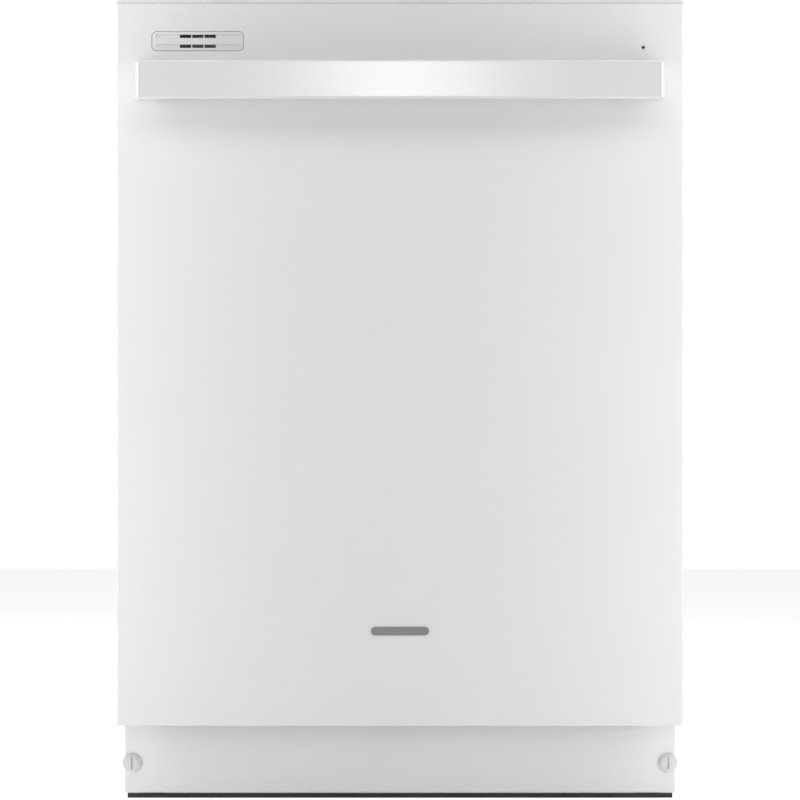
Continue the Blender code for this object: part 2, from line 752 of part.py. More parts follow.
def sump(plastic):
    """A cup under the tub's floor with a centre post that carries the lower spray arm."""
    under = TUB_BOTTOM - GAP
    r = SUMP_RADIUS - 0.004
    profile = [
        (0.0, 0.080),
        (r, 0.080),
        (r, under - 0.003),
        (r + 0.014, under - 0.003),
        (r + 0.014, under),
        (r - 0.003, under),
        (r - 0.003, 0.083),
        (0.013, 0.083),
        (0.011, LOWER_ARM_Z - 0.0006),
        (0.0, LOWER_ARM_Z - 0.0006),
    ]
    cup = turned(profile, (0, SPRAY_Y), 28)
    inlet = rod((0.080, SPRAY_Y, 0.108), (0.1135, SPRAY_Y, 0.108), 0.020, 16)
    drain = rod((-0.080, SPRAY_Y, 0.100), (-0.1035, SPRAY_Y, 0.100), 0.014, 14)
    pivot = rod((0, SPRAY_Y, LOWER_ARM_Z - 0.004), (0, SPRAY_Y, LOWER_ARM_Z + 0.018), 0.0040, 12)
    made = combine("sump", [cup, inlet, drain, pivot])
    return node("sump", made, plastic)


def wash_motor(alloy):
    """The circulation pump and its motor, beside the sump."""
    y, z = SPRAY_Y, 0.098
    volute = rod((0.1140, y, z), (0.1420, y, z), 0.042, 24)
    can = rod((0.1400, y, z), (0.2150, y, z), 0.036, 24)
    nose = rod((0.2140, y, z), (0.2230, y, z), 0.014, 16)
    outlet = rod((0.1280, y, z), (0.1280, y + 0.060, z), 0.012, 14)
    made = combine("wash_motor", [volute, can, nose, outlet])
    return node("wash_motor", made, alloy, smooth=True)


def drain_pump(plastic):
    """A small pump on the left of the sump with a bare spigot for the drain hose."""
    y, z = SPRAY_Y, 0.094
    body = rod((-0.1040, y, z), (-0.1680, y, z), 0.026, 20)
    spigot = rod((-0.1180, y + 0.020, z + 0.004), (-0.1180, y + 0.068, z + 0.004), 0.0095, 14)
    bead = rod((-0.1180, y + 0.058, z + 0.004), (-0.1180, y + 0.063, z + 0.004), 0.0110, 14)
    made = combine("drain_pump", [body, spigot, bead])
    return node("drain_pump", made, plastic, smooth=True)


def heater_element(steel):
    """A looped rod over the tub's floor, its two ends going down through the floor at the back."""
    gap = math.asin(HEATER_END_XS[1] / HEATER_RADIUS)
    start, end = math.pi / 2 + gap, math.pi / 2 + 2 * math.pi - gap
    steps = 30
    left, right = HEATER_END_XS
    points = [(left, HEATER_END_Y, HEATER_END_Z), (left, HEATER_END_Y, HEATER_Z - 0.006)]
    for k in range(1, steps):
        angle = start + (end - start) * k / steps
        points.append((HEATER_RADIUS * math.cos(angle), SPRAY_Y + HEATER_RADIUS * math.sin(angle), HEATER_Z))
    points += [(right, HEATER_END_Y, HEATER_Z - 0.006), (right, HEATER_END_Y, HEATER_END_Z)]
    return node("heater_element", tube(points, HEATER_WIRE, 1), steel, smooth=True)


def filter_plate(steel):
    """A round plate over the sump, pierced for the spray post and the filter cup."""
    z = TUB_BOTTOM + TUB_SHEET + GAP
    plate = rod((0, SPRAY_Y, z), (0, SPRAY_Y, z + 0.0025), SUMP_RADIUS + 0.012, 32)
    post = rod((0, SPRAY_Y, z - THROUGH), (0, SPRAY_Y, z + THROUGH), 0.0145, 16)
    cup = rod((0, FILTER_CUP_Y, z - THROUGH), (0, FILTER_CUP_Y, z + THROUGH), FILTER_CUP_RADIUS + 0.0006, 24)
    made = combine("filter_plate", [plate], [post, cup])
    return node("filter_plate", made, steel)


def filter_cup(plastic):
    """A cylindrical fine filter with a rim and a finger bar, turned to lock."""
    top = TUB_BOTTOM + TUB_SHEET + 0.0035
    radius = FILTER_CUP_RADIUS
    profile = [
        (0.0, 0.092),
        (radius, 0.092),
        (radius, top),
        (radius + 0.004, top),
        (radius + 0.004, top + 0.003),
        (radius - 0.002, top + 0.003),
        (radius - 0.002, 0.094),
        (0.0, 0.094),
    ]
    cup = turned(profile, (0, FILTER_CUP_Y), 24)
    reach = radius - 0.001
    bar = box((-reach, FILTER_CUP_Y - 0.003, top - 0.004), (reach, FILTER_CUP_Y + 0.003, top + 0.010))
    made = combine("filter_cup", [cup, bar])
    return node("filter_cup", made, plastic, pivot=(0, FILTER_CUP_Y, top))


def water_feed_tube(plastic):
    """The riser up the back wall and forward under the roof to a fixed top sprinkler."""
    riser_y = TUB_BACK_Y - 0.020
    corners = [(0, riser_y, 0.152), (0, riser_y, 0.812), (0, SPRAY_Y, 0.812)]
    pipe = tube(rounded_path(corners, 0.035), 0.0105, 3)
    port = rod((0, riser_y, 0.500), (0, riser_y - 0.020, 0.500), 0.0120, 14)
    profile = [(0.0, 0.788), (0.012, 0.788), (0.030, 0.794), (0.030, 0.797), (0.010, 0.805), (0.0, 0.8055)]
    head = turned(profile, (0, SPRAY_Y + 0.014), 20)
    made = combine("water_feed_tube", [pipe, port, head])
    return node("water_feed_tube", made, plastic, smooth=True)


def spray_arm(name, z, reach, bore, plastic):
    """A two-bladed arm, slimmer towards the tips, with a row of jets along the top."""
    waist = 0.030 / reach
    edge = ((-1.0, 0.010), (-0.6, 0.017), (-waist, 0.022), (waist, 0.026), (0.6, 0.022), (1.0, 0.014))
    outline = []
    for side in (1, -1):
        for share, y in edge:
            outline.append((share * reach * side, SPRAY_Y + y * side))
    blade = slab(outline, "Z", z + 0.0020, z + 0.0110)
    hub = rod((0, SPRAY_Y, z), (0, SPRAY_Y, z + 0.0150), 0.022, 20)
    hole = rod((0, SPRAY_Y, z - THROUGH), (0, SPRAY_Y, z + 0.03), bore, 16)
    jets = []
    for k in range(1, 4):
        for side in (-1, 1):
            x = side * (0.055 + 0.042 * k)
            jet_low = (x - 0.005, SPRAY_Y - 0.0012, z + 0.0080)
            jets.append(box(jet_low, (x + 0.005, SPRAY_Y + 0.0012, z + 0.02)))
    made = combine(name, [blade, hub], [hole, *jets])
    return node(name, made, plastic, pivot=(0, SPRAY_Y, z))


def upper_feed_pipe(plastic):
    """The pipe under the upper rack's floor, from its arm's pin to the port on the riser."""
    z = 0.5085
    pipe = rod((0, SPRAY_Y - 0.012, z), (0, 0.2720, z), 0.0064, 12)
    funnel = rod((0, 0.2600, 0.5020), (0, 0.2800, 0.5000), 0.0100, 14)
    pin = rod((0, SPRAY_Y, UPPER_ARM_Z - 0.0030), (0, SPRAY_Y, z), 0.0040, 10)
    cap = rod((0, SPRAY_Y, UPPER_ARM_Z - 0.0050), (0, SPRAY_Y, UPPER_ARM_Z - 0.0006), 0.0090, 14)
    made = combine("upper_feed_pipe", [pipe, funnel, pin, cap])
    return node("upper_feed_pipe", made, plastic)


def float_switch(plastic):
    """The overfill float: a cap on a stem that rises through the tub's floor."""
    floor = TUB_BOTTOM + TUB_SHEET + 0.0006
    cap = rod((FLOAT_X, FLOAT_Y, floor), (FLOAT_X, FLOAT_Y, floor + 0.030), 0.0170, 20, 0.0140)
    stem = rod((FLOAT_X, FLOAT_Y, 0.124), (FLOAT_X, FLOAT_Y, floor + 0.001), 0.0048, 12)
    made = combine("overfill_float", [cap, stem])
    return node("overfill_float", made, plastic, pivot=(FLOAT_X, FLOAT_Y, floor))


# ---- racks ----------------------------------------------------------------------------------

def wire_basket(half, ys, zs, floor_cells, wall_cells):
    """An open-topped basket whose floor and walls are a grid of square wires."""
    across, along = floor_cells
    bm = bmesh.new()

    def grid(corner, edge_a, edge_b, count_a, count_b):
        corner, edge_a, edge_b = Vector(corner), Vector(edge_a), Vector(edge_b)
        rows = []
        for i in range(count_a + 1):
            start = corner + edge_a * i / count_a
            rows.append([bm.verts.new(start + edge_b * j / count_b) for j in range(count_b + 1)])
        for i in range(count_a):
            for j in range(count_b):
                bm.faces.new((rows[i][j], rows[i + 1][j], rows[i + 1][j + 1], rows[i][j + 1]))

    wide, deep, tall = (2 * half, 0, 0), (0, ys[1] - ys[0], 0), (0, 0, zs[1] - zs[0])
    grid((-half, ys[0], zs[0]), wide, deep, across, along)
    grid((-half, ys[0], zs[0]), wide, tall, across, wall_cells)
    grid((-half, ys[1], zs[0]), wide, tall, across, wall_cells)
    grid((-half, ys[0], zs[0]), deep, tall, along, wall_cells)
    grid((half, ys[0], zs[0]), deep, tall, along, wall_cells)
    bmesh.ops.remove_doubles(bm, verts=bm.verts, dist=0.0001)
    bmesh.ops.recalc_face_normals(bm, faces=bm.faces)
    made = link("basket", bm)
    wires = made.modifiers.new("Wireframe", "WIREFRAME")
    wires.thickness = RACK_WIRE
    wires.use_even_offset = True
    wires.use_boundary = True
    wires.use_replace = True
    made.modifiers.new("Triangulate", "TRIANGULATE")
    return combine("basket", [made])


def lower_rack(nylon):
    """The lower basket with four drop struts and axles for its wheels."""
    basket = wire_basket(LOWER_RACK_HALF, LOWER_RACK_Y, LOWER_RACK_Z, (6, 6), 2)
    struts = []
    for side in (-1, 1):
        for y in RACK_WHEEL_YS.values():
            low, high = sorted((side * (LOWER_RACK_HALF - 0.002), side * (LOWER_RACK_HALF + RACK_WIRE)))
            strut_low = (low, y - 0.007, RACK_WHEEL_Z - 0.007)
            struts.append(box(strut_low, (high, y + 0.007, LOWER_RACK_Z[0] + 0.03)))
            start, end = side * LOWER_RACK_HALF, side * (RACK_WHEEL_X[1] + 0.0015)
            struts.append(rod((start, y, RACK_WHEEL_Z), (end, y, RACK_WHEEL_Z), 0.0030, 8))
    made = combine("lower_rack", [basket, *struts])
    return node("lower_rack", made, nylon)


def rack_wheel(plastic):
    """One wheel of the lower rack, with a bore that runs on its axle."""
    y = RACK_WHEEL_YS["front"]
    low, high = RACK_WHEEL_X
    tyre = rod((low, y, RACK_WHEEL_Z), (high, y, RACK_WHEEL_Z), RACK_WHEEL_RADIUS, 24)
    bore = rod((low - THROUGH, y, RACK_WHEEL_Z), (high + THROUGH, y, RACK_WHEEL_Z), 0.0036, 12)
    made = combine("lower_rack_wheel_front_right", [tyre], [bore])
    pivot = ((low + high) / 2, y, RACK_WHEEL_Z)
    return node("lower_rack_wheel_front_right", made, plastic, pivot=pivot, smooth=True)


def upper_rack(nylon):
    """The upper basket with a runner each side that sits in its channel."""
    basket = wire_basket(UPPER_RACK_HALF, UPPER_RACK_Y, UPPER_RACK_Z, (6, 6), 2)
    middle = (RAIL_Z[0] + RAIL_Z[1]) / 2
    pieces = []
    for side in (-1, 1):
        low, high = sorted((side * 0.2620, side * 0.2730))
        pieces.append(box((low, -0.170, middle - 0.011), (high, 0.270, middle + 0.011)))
        for y in (-0.150, 0.250):
            low, high = sorted((side * (UPPER_RACK_HALF - 0.002), side * 0.2640))
            pieces.append(box((low, y - 0.012, middle - 0.005), (high, y + 0.012, middle + 0.005)))
            low, high = sorted((side * (UPPER_RACK_HALF - 0.002), side * (UPPER_RACK_HALF + RACK_WIRE)))
            pieces.append(box((low, y - 0.012, UPPER_RACK_Z[0] - 0.0015), (high, y + 0.012, middle + 0.005)))
    made = combine("upper_rack", [basket, *pieces])
    return node("upper_rack", made, nylon)


def silverware_basket(plastic):
    """A three-cell cutlery basket with a bail handle, standing in the lower rack."""
    x0, x1, y0, y1, z0, z1 = 0.005, 0.235, -0.176, -0.108, 0.213, 0.335
    wall = 0.0025
    outer = box((x0, y0, z0), (x1, y1, z1))
    width = (x1 - x0 - 4 * wall) / 3
    cells = []
    for k in range(3):
        left = x0 + wall + k * (width + wall)
        cells.append(box((left, y0 + wall, z0 + wall), (left + width, y1 - wall, z1 + THROUGH)))
    middle_y = (y0 + y1) / 2
    reach = wall + width - 0.006
    grip = box((x0 + reach, middle_y - 0.004, 0.372), (x1 - reach, middle_y + 0.004, 0.380))
    posts = []
    for x in (x0 + wall * 1.5 + width, x1 - wall * 1.5 - width):
        posts.append(box((x - 0.004, middle_y - 0.004, z1 - 0.02), (x + 0.004, middle_y + 0.004, 0.376)))
    tub_shape = combine("cells", [outer], cells)
    made = combine("silverware_basket", [tub_shape, grip, *posts])
    return node("silverware_basket", made, plastic)


# ---- base -----------------------------------------------------------------------------------

def base_frame(zinc):
    """Folded side rails, a front and a back cross member, and lugs for the legs and wheels."""
    sheet = FRAME_SHEET
    inside = FRAME_HALF - 0.001
    pieces = [
        box((-inside, FRAME_FRONT_Y, FRAME_BOTTOM + 0.0004), (inside, FRAME_FRONT_Y + sheet, 0.060)),
        box((-inside, FRAME_BACK_Y - sheet, FRAME_BOTTOM + 0.0004), (inside, FRAME_BACK_Y, 0.110)),
    ]
    cuts = []

    def plate(side, xs, ys, zs):
        low, high = sorted((side * xs[0], side * xs[1]))
        return box((low, ys[0], zs[0]), (high, ys[1], zs[1]))

    rail_ys, rail_zs = (FRAME_FRONT_Y, FRAME_BACK_Y), (FRAME_BOTTOM, FRAME_TOP)
    ear_ys = (FRAME_FRONT_Y - 0.0004, FRAME_FRONT_Y + sheet - 0.0004)
    foot_zs = (FRAME_BOTTOM + 0.0002, FRAME_BOTTOM + sheet)
    for side in (-1, 1):
        pieces += [
            plate(side, (FRAME_HALF - sheet, FRAME_HALF), rail_ys, rail_zs),
            plate(side, (0.2440, inside), (FRAME_FRONT_Y + 0.0004, FRAME_BACK_Y - 0.0004), foot_zs),
            plate(side, (0.2700, 0.2990), ear_ys, (FASTENER_Z - 0.014, FASTENER_Z + 0.014)),
        ]
        for x in (REAR_WHEEL_X - 0.0115, REAR_WHEEL_X + 0.0115):
            lug_ys = (REAR_WHEEL_Y - 0.012, REAR_WHEEL_Y + 0.012)
            pieces.append(plate(side, (x - 0.0010, x + 0.0010), lug_ys, (0.008, FRAME_BOTTOM + 0.002)))
        ends = [(side * (REAR_WHEEL_X + a), REAR_WHEEL_Y, REAR_WHEEL_RADIUS) for a in (-0.0120, 0.0120)]
        pieces.append(rod(*ends, 0.0030, 10))
        leg, hole = side * LEG_X, side * FASTENER_X
        wheel_xs = (REAR_WHEEL_X - 0.0095, REAR_WHEEL_X + 0.0095)
        wheel_ys = (REAR_WHEEL_Y - 0.021, REAR_WHEEL_Y + 0.021)
        behind_ear = (FRAME_FRONT_Y + 0.0027, FRAME_FRONT_Y + 0.0100)
        hole_ends = [(hole, FRAME_FRONT_Y + way * THROUGH, FASTENER_Z) for way in (-1, 1)]
        cuts += [
            rod((leg, LEG_Y, 0.02), (leg, LEG_Y, 0.04), 0.0056, 12),
            plate(side, wheel_xs, wheel_ys, (0.0285, 0.040)),
            rod(*hole_ends, 0.0052, 16),
            plate(side, (0.2800, FRAME_HALF + 0.002), behind_ear, (FASTENER_Z - 0.009, FASTENER_Z + 0.009)),
        ]
    made = combine("base_frame", pieces, cuts)
    return node("base_frame", made, zinc)


def hinge_bracket(zinc):
    """A plate on the frame's right side that reaches forward to the door's hinge pin."""
    low, high = HINGE_PLATE_X
    outline = [
        (HINGE_Y - 0.009, HINGE_Z - 0.006),
        (HINGE_Y - 0.003, HINGE_Z - 0.012),
        (-0.190, 0.086),
        (-0.120, 0.080),
        (-0.120, 0.142),
        (-0.205, 0.142),
        (HINGE_Y + 0.004, HINGE_Z + 0.010),
        (HINGE_Y - 0.007, HINGE_Z + 0.008),
    ]
    plate = slab(outline, "X", low, high)
    pin = rod((low + 0.001, HINGE_Y, HINGE_Z), (0.3000, HINGE_Y, HINGE_Z), HINGE_PIN_RADIUS, 12)
    made = combine("hinge_bracket_right", [plate, pin])
    return node("hinge_bracket_right", made, zinc)


def door_spring(steel):
    """The right counterbalance spring, low along the frame's side, with a hook at each end."""
    x, z = 0.2962, 0.0980
    coil = rod((x, -0.168, z), (x, -0.010, z), 0.0042, 12)
    front = rod((x, -0.192, z), (x, -0.166, z), 0.0014, 6)
    back = rod((x, -0.012, z), (x, 0.022, z), 0.0014, 6)
    made = combine("door_spring_right", [coil, front, back])
    return node("door_spring_right", made, steel)


def leveling_leg(zinc):
    """One front leg: a foot pad, a hexagon above it and a threaded stem up into the frame."""
    pad = rod((LEG_X, LEG_Y, 0.0), (LEG_X, LEG_Y, 0.006), 0.0140, 20)
    hexagon = rod((LEG_X, LEG_Y, 0.0050), (LEG_X, LEG_Y, 0.0120), 0.0085, 6)
    stem = rod((LEG_X, LEG_Y, 0.0100), (LEG_X, LEG_Y, 0.0780), 0.0048, 12)
    made = combine("leveling_leg_right", [pad, hexagon, stem])
    return node("leveling_leg_right", made, zinc, pivot=(LEG_X, LEG_Y, 0.030))


def rear_wheel(plastic):
    low, high = REAR_WHEEL_X - 0.0080, REAR_WHEEL_X + 0.0080
    y, z = REAR_WHEEL_Y, REAR_WHEEL_RADIUS
    tyre = rod((low, y, z), (high, y, z), REAR_WHEEL_RADIUS, 32)
    bore = rod((low - THROUGH, y, z), (high + THROUGH, y, z), 0.0036, 12)
    made = combine("rear_wheel_right", [tyre], [bore])
    return node("rear_wheel_right", made, plastic, pivot=(REAR_WHEEL_X, y, z), smooth=True)


def toe_panel(paint):
    """The kick plate under the door: a sheet with returns on its top and sides."""
    depth = 0.008
    sheet = PANEL_SHEET
    outer = box((-TOE_HALF, TOE_Y, TOE_BOTTOM), (TOE_HALF, TOE_Y + depth, TOE_TOP))
    hollow = box(
        (-TOE_HALF + sheet, TOE_Y + sheet, TOE_BOTTOM - THROUGH),
        (TOE_HALF - sheet, TOE_Y + depth + THROUGH, TOE_TOP - sheet),
    )
    cuts = [hollow]
    for side in (-1, 1):
        x = side * FASTENER_X
        cuts.append(rod((x, TOE_Y - THROUGH, FASTENER_Z), (x, TOE_Y + 0.005, FASTENER_Z), 0.0052, 16))
    made = combine("toe_panel", [outer], cuts)
    return node("toe_panel", made, paint)


def toe_seal_strip(rubber):
    made = box((-0.296, TOE_Y + 0.0006, 0.0008), (0.296, TOE_Y + 0.0036, TOE_BOTTOM - GAP))
    return node("toe_seal_strip", made, rubber)


def toe_fastener(plastic):
    """A quarter-turn fastener: a round head with a coin slot, a stem and a cross lug behind."""
    x, z = FASTENER_X, FASTENER_Z
    head = rod((x, TOE_Y - GAP, z), (x, TOE_Y - 0.0050, z), FASTENER_RADIUS, 24, FASTENER_RADIUS - 0.0020)
    stem = rod((x, TOE_Y - 0.001, z), (x, FRAME_FRONT_Y + 0.0055, z), 0.0042, 12)
    lug_ys = (FRAME_FRONT_Y + 0.0030, FRAME_FRONT_Y + 0.0058)
    lug = box((x - 0.0070, lug_ys[0], z - 0.0028), (x + 0.0070, lug_ys[1], z + 0.0028))
    slot = box((x - 0.0010, TOE_Y - THROUGH, z - 0.0065), (x + 0.0010, TOE_Y - 0.0030, z + 0.0065))
    made = combine("toe_fastener_right", [head, stem, lug], [slot])
    return node("toe_fastener_right", made, plastic, pivot=(x, TOE_Y, z))


def inlet_valve(plastic):
    """The fill valve: a body, a coil on top and a threaded inlet that faces down."""
    x, y = -0.2200, -0.0900
    body = box((x - 0.018, y - 0.018, 0.068), (x + 0.018, y + 0.018, 0.096))
    coil = rod((x, y, 0.094), (x, y, 0.124), 0.0130, 16)
    inlet = rod((x, y, 0.070), (x, y, 0.044), 0.0095, 16)
    outlet = rod((x, y + 0.016, 0.084), (x, y + 0.044, 0.084), 0.0070, 12)
    made = combine("inlet_valve", [body, coil, inlet, outlet])
    return node("inlet_valve", made, plastic)


def junction_box(plastic):
    """The closed wiring box at the front right, with a round knock-out pressed in its back face."""
    low = (0.170, -0.190, FRAME_BOTTOM + FRAME_SHEET + GAP)
    high = (0.240, -0.130, 0.078)
    outer = box(low, high)
    knock_out = rod((0.205, high[1] - 0.002, 0.055), (0.205, high[1] + THROUGH, 0.055), 0.0110, 16)
    made = combine("junction_box", [outer], [knock_out])
    return node("junction_box", made, plastic)


# ---- assembly -------------------------------------------------------------------------------

def build_door(finish):
    post = handle_post(finish["white"])
    arm = hinge_arm(finish["zinc"])
    fixed = [
        door_outer_panel(finish["white"]),
        door_inner_liner(finish["steel"]),
        control_console(finish["grey_lip"]),
        handle_bar(finish["white"]),
        post,
        mirror_node("handle_post_left", post),
        vent_grille(finish["white_plastic"]),
        indicator_lens(finish["smoke"]),
        detergent_dispenser(finish["pale_plastic"]),
        control_board(finish["board"]),
        arm,
        mirror_node("hinge_arm_left", arm),
        door_insulation(finish["felt"]),
    ]
    moving = [button(name, finish["white_plastic"]) for name in BUTTON_XS]
    moving += [
        detergent_lid(finish["grey_plastic"]),
        rinse_aid_cap(finish["blue_plastic"]),
        latch_hook(finish["zinc"]),
    ]
    axis_empty("door_axis", (0, HINGE_Y, HINGE_Z), fixed + moving)


def build_tub(finish):
    tub(finish["steel"])
    tub_gasket(finish["rubber"])
    tub_blanket(finish["felt"])
    mirror_node("countertop_bracket_left", countertop_bracket(finish["zinc"]))
    mirror_node("rack_rail_left", rack_rail(finish["steel"]))
    latch_strike(finish["zinc"])


def build_wash_system(finish):
    sump(finish["grey_plastic"])
    wash_motor(finish["alloy"])
    drain_pump(finish["black"])
    heater_element(finish["steel"])
    filter_plate(finish["steel"])
    filter_cup(finish["grey_plastic"])
    water_feed_tube(finish["pale_plastic"])
    float_switch(finish["pale_plastic"])
    spray_arm("lower_spray_arm", LOWER_ARM_Z, LOWER_ARM_REACH, 0.0046, finish["pale_plastic"])


def build_racks(finish):
    wheel = rack_wheel(finish["pale_plastic"])
    middle_x, front_y = wheel.location.x, wheel.location.y
    wheels = [wheel]
    for end, y in RACK_WHEEL_YS.items():
        for side, sign in (("right", 1), ("left", -1)):
            if (end, side) != ("front", "right"):
                name = f"lower_rack_wheel_{end}_{side}"
                wheels.append(copy_node(name, wheel, (sign * middle_x, y, RACK_WHEEL_Z)))
    lower = [lower_rack(finish["rack"]), silverware_basket(finish["grey_plastic"])]
    axis_empty("lower_rack_slide", (0, front_y, RACK_WHEEL_Z), lower + wheels)
    upper = [
        upper_rack(finish["rack"]),
        upper_feed_pipe(finish["pale_plastic"]),
        spray_arm("upper_spray_arm", UPPER_ARM_Z, UPPER_ARM_REACH, 0.0046, finish["pale_plastic"]),
    ]
    axis_empty("upper_rack_slide", (0, UPPER_RACK_Y[0], UPPER_RACK_Z[0]), upper)


def build_base(finish):
    base_frame(finish["zinc"])
    mirror_node("hinge_bracket_left", hinge_bracket(finish["zinc"]))
    mirror_node("door_spring_left", door_spring(finish["steel"]))
    leg = leveling_leg(finish["zinc"])
    copy_node("leveling_leg_left", leg, (-LEG_X, LEG_Y, 0.030))
    wheel = rear_wheel(finish["black"])
    copy_node("rear_wheel_left", wheel, (-REAR_WHEEL_X, REAR_WHEEL_Y, REAR_WHEEL_RADIUS))
    toe_panel(finish["white"])
    toe_seal_strip(finish["rubber"])
    fastener = toe_fastener(finish["white_plastic"])
    copy_node("toe_fastener_left", fastener, (-FASTENER_X, TOE_Y, FASTENER_Z))
    inlet_valve(finish["white_plastic"])
    junction_box(finish["black"])


def main():
    clear_scene()
    finish = make_materials()
    build_base(finish)
    build_tub(finish)
    build_wash_system(finish)
    build_racks(finish)
    build_door(finish)


main()
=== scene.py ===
"""Looks of the built-in dishwasher: every CAD body gets its visible pieces and materials here."""

import math

import bmesh
import bpy
from mathutils import Matrix, Vector, noise


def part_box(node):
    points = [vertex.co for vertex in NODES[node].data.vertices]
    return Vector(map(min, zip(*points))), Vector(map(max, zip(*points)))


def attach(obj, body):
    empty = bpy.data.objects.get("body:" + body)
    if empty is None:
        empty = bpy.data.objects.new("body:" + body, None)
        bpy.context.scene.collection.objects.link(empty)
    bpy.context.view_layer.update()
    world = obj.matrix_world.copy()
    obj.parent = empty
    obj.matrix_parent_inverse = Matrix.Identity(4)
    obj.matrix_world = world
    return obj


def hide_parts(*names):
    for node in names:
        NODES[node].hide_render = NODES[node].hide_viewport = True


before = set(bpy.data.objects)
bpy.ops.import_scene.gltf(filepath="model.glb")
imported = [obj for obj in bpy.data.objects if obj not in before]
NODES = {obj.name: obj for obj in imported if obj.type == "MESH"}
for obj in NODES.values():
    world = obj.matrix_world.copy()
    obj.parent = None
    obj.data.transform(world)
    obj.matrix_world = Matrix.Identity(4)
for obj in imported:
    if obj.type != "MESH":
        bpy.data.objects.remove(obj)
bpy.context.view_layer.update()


def corners(node):
    """A node's lowest and highest corners as vectors."""
    low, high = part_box(node)
    return Vector(low), Vector(high)


def middle(node):
    """The centre of a node's box."""
    low, high = corners(node)
    return (low + high) / 2


PANEL_LOW, PANEL_HIGH = corners("door_outer_panel")
FACE_Y = PANEL_LOW.y
LINER_LOW, LINER_HIGH = corners("door_inner_liner")
TUB_LOW, TUB_HIGH = corners("tub")
BLANKET_LOW, BLANKET_HIGH = corners("tub_blanket")
AXIS_Y = 0.030    # the axis of the spray arms and the sump, in y
SIM_FRAMES = 20    # how long the cloth simulation of the felt runs
HINGE_NOTCH = (0.2864, 0.2936)    # where the hinge plates pass the front sheet's bottom fold, in x


# ---- materials ------------------------------------------------------------------------------

class Shade:
    """A Principled material whose textures run on the piece's own coordinates, in metres."""

    def __init__(self, name, colour, roughness, metallic=0.0, **sockets):
        self.material = bpy.data.materials.new(name)
        self.material.use_nodes = True
        self.tree = self.material.node_tree
        self.shader = self.tree.nodes["Principled BSDF"]
        self.place = self.add("ShaderNodeTexCoord").outputs["Object"]
        self.set("Base Color", (*colour, 1.0))
        self.set("Roughness", roughness)
        self.set("Metallic", metallic)
        for socket, value in sockets.items():
            self.set(socket.replace("_", " "), value)
        self.material.diffuse_color = (*colour, 1.0)

    def add(self, kind, **settings):
        node = self.tree.nodes.new(kind)
        for key, value in settings.items():
            setattr(node, key, value)
        return node

    def set(self, socket, value):
        self.shader.inputs[socket].default_value = value

    def join(self, output, target):
        self.tree.links.new(output, target)
        return self

    def noise(self, scale, detail=2.0, stretch=(1, 1, 1), roughness=0.5):
        """A noise factor; stretch multiplies the scale along each axis."""
        mapping = self.add("ShaderNodeMapping")
        mapping.inputs["Scale"].default_value = stretch
        texture = self.add("ShaderNodeTexNoise")
        texture.inputs["Scale"].default_value = scale
        texture.inputs["Detail"].default_value = detail
        texture.inputs["Roughness"].default_value = roughness
        self.join(self.place, mapping.inputs["Vector"])
        self.join(mapping.outputs["Vector"], texture.inputs["Vector"])
        return texture.outputs["Fac"]

    def cells(self, scale, feature="F1", output="Color"):
        """A cell pattern's output."""
        texture = self.add("ShaderNodeTexVoronoi", feature=feature)
        texture.inputs["Scale"].default_value = scale
        self.join(self.place, texture.inputs["Vector"])
        return texture.outputs[output]

    def ramp(self, factor, stops):
        """A colour ramp: stops are (place, colour)."""
        node = self.add("ShaderNodeValToRGB")
        ramp = node.color_ramp
        while len(ramp.elements) < len(stops):
            ramp.elements.new(0.5)
        for element, (place, colour) in zip(ramp.elements, stops):
            element.position = place
            element.color = (*colour, 1.0) if len(colour) == 3 else colour
        self.join(factor, node.inputs["Fac"])
        return node.outputs["Color"]

    def span(self, factor, low, high):
        """The factor's range 0.3 to 0.7 mapped to low and high."""
        node = self.add("ShaderNodeMapRange")
        node.inputs["From Min"].default_value = 0.3
        node.inputs["From Max"].default_value = 0.7
        node.inputs["To Min"].default_value = low
        node.inputs["To Max"].default_value = high
        self.join(factor, node.inputs["Value"])
        return node.outputs["Result"]

    def bump(self, height, depth, strength=0.5):
        """Relief from a factor; depth is in metres."""
        node = self.add("ShaderNodeBump")
        node.inputs["Distance"].default_value = depth
        node.inputs["Strength"].default_value = strength
        self.join(height, node.inputs["Height"])
        self.join(node.outputs["Normal"], self.shader.inputs["Normal"])
        return self

    def vary_colour(self, factor, colour, amount):
        """The base colour drifts a little darker and lighter with the factor."""
        low = tuple(c * (1 - amount) for c in colour)
        high = tuple(min(1.0, c * (1 + amount)) for c in colour)
        self.join(self.ramp(factor, [(0.35, low), (0.65, high)]), self.shader.inputs["Base Color"])
        return self

    def vary_roughness(self, factor, low, high):
        return self.join(self.span(factor, low, high), self.shader.inputs["Roughness"])


def enamel(name, colour, roughness=0.48, coat=0.05, coat_ior=1.5):
    """Baked enamel on sheet metal: a faint orange peel under a thin clear gloss."""
    made = Shade(name, colour, roughness, Coat_Weight=coat, Coat_Roughness=0.20, Coat_IOR=coat_ior)
    made.vary_colour(made.noise(2.5, 3.0), colour, 0.012)
    made.vary_roughness(made.noise(9.0, 3.0), roughness - 0.03, roughness + 0.04)
    return made.bump(made.noise(420.0, 1.0), 0.00003, 0.35).material


def moulded(name, colour, roughness=0.42, grain=900.0, depth=0.00004):
    """Injection-moulded plastic with a fine spark grain."""
    made = Shade(name, colour, roughness)
    made.vary_colour(made.noise(14.0, 3.0), colour, 0.03)
    made.vary_roughness(made.noise(30.0, 3.0), roughness - 0.05, roughness + 0.06)
    return made.bump(made.noise(grain, 2.0), depth, 0.4).material


def brushed(name, colour, roughness, stretch):
    """Rolled or brushed stainless sheet: fine lines along one axis."""
    made = Shade(name, colour, roughness, 1.0, Anisotropic=0.35)
    lines = made.noise(26.0, 5.0, stretch, 0.65)
    made.vary_colour(lines, colour, 0.05)
    made.vary_roughness(lines, roughness - 0.07, roughness + 0.09)
    return made.bump(lines, 0.00002, 0.35).material


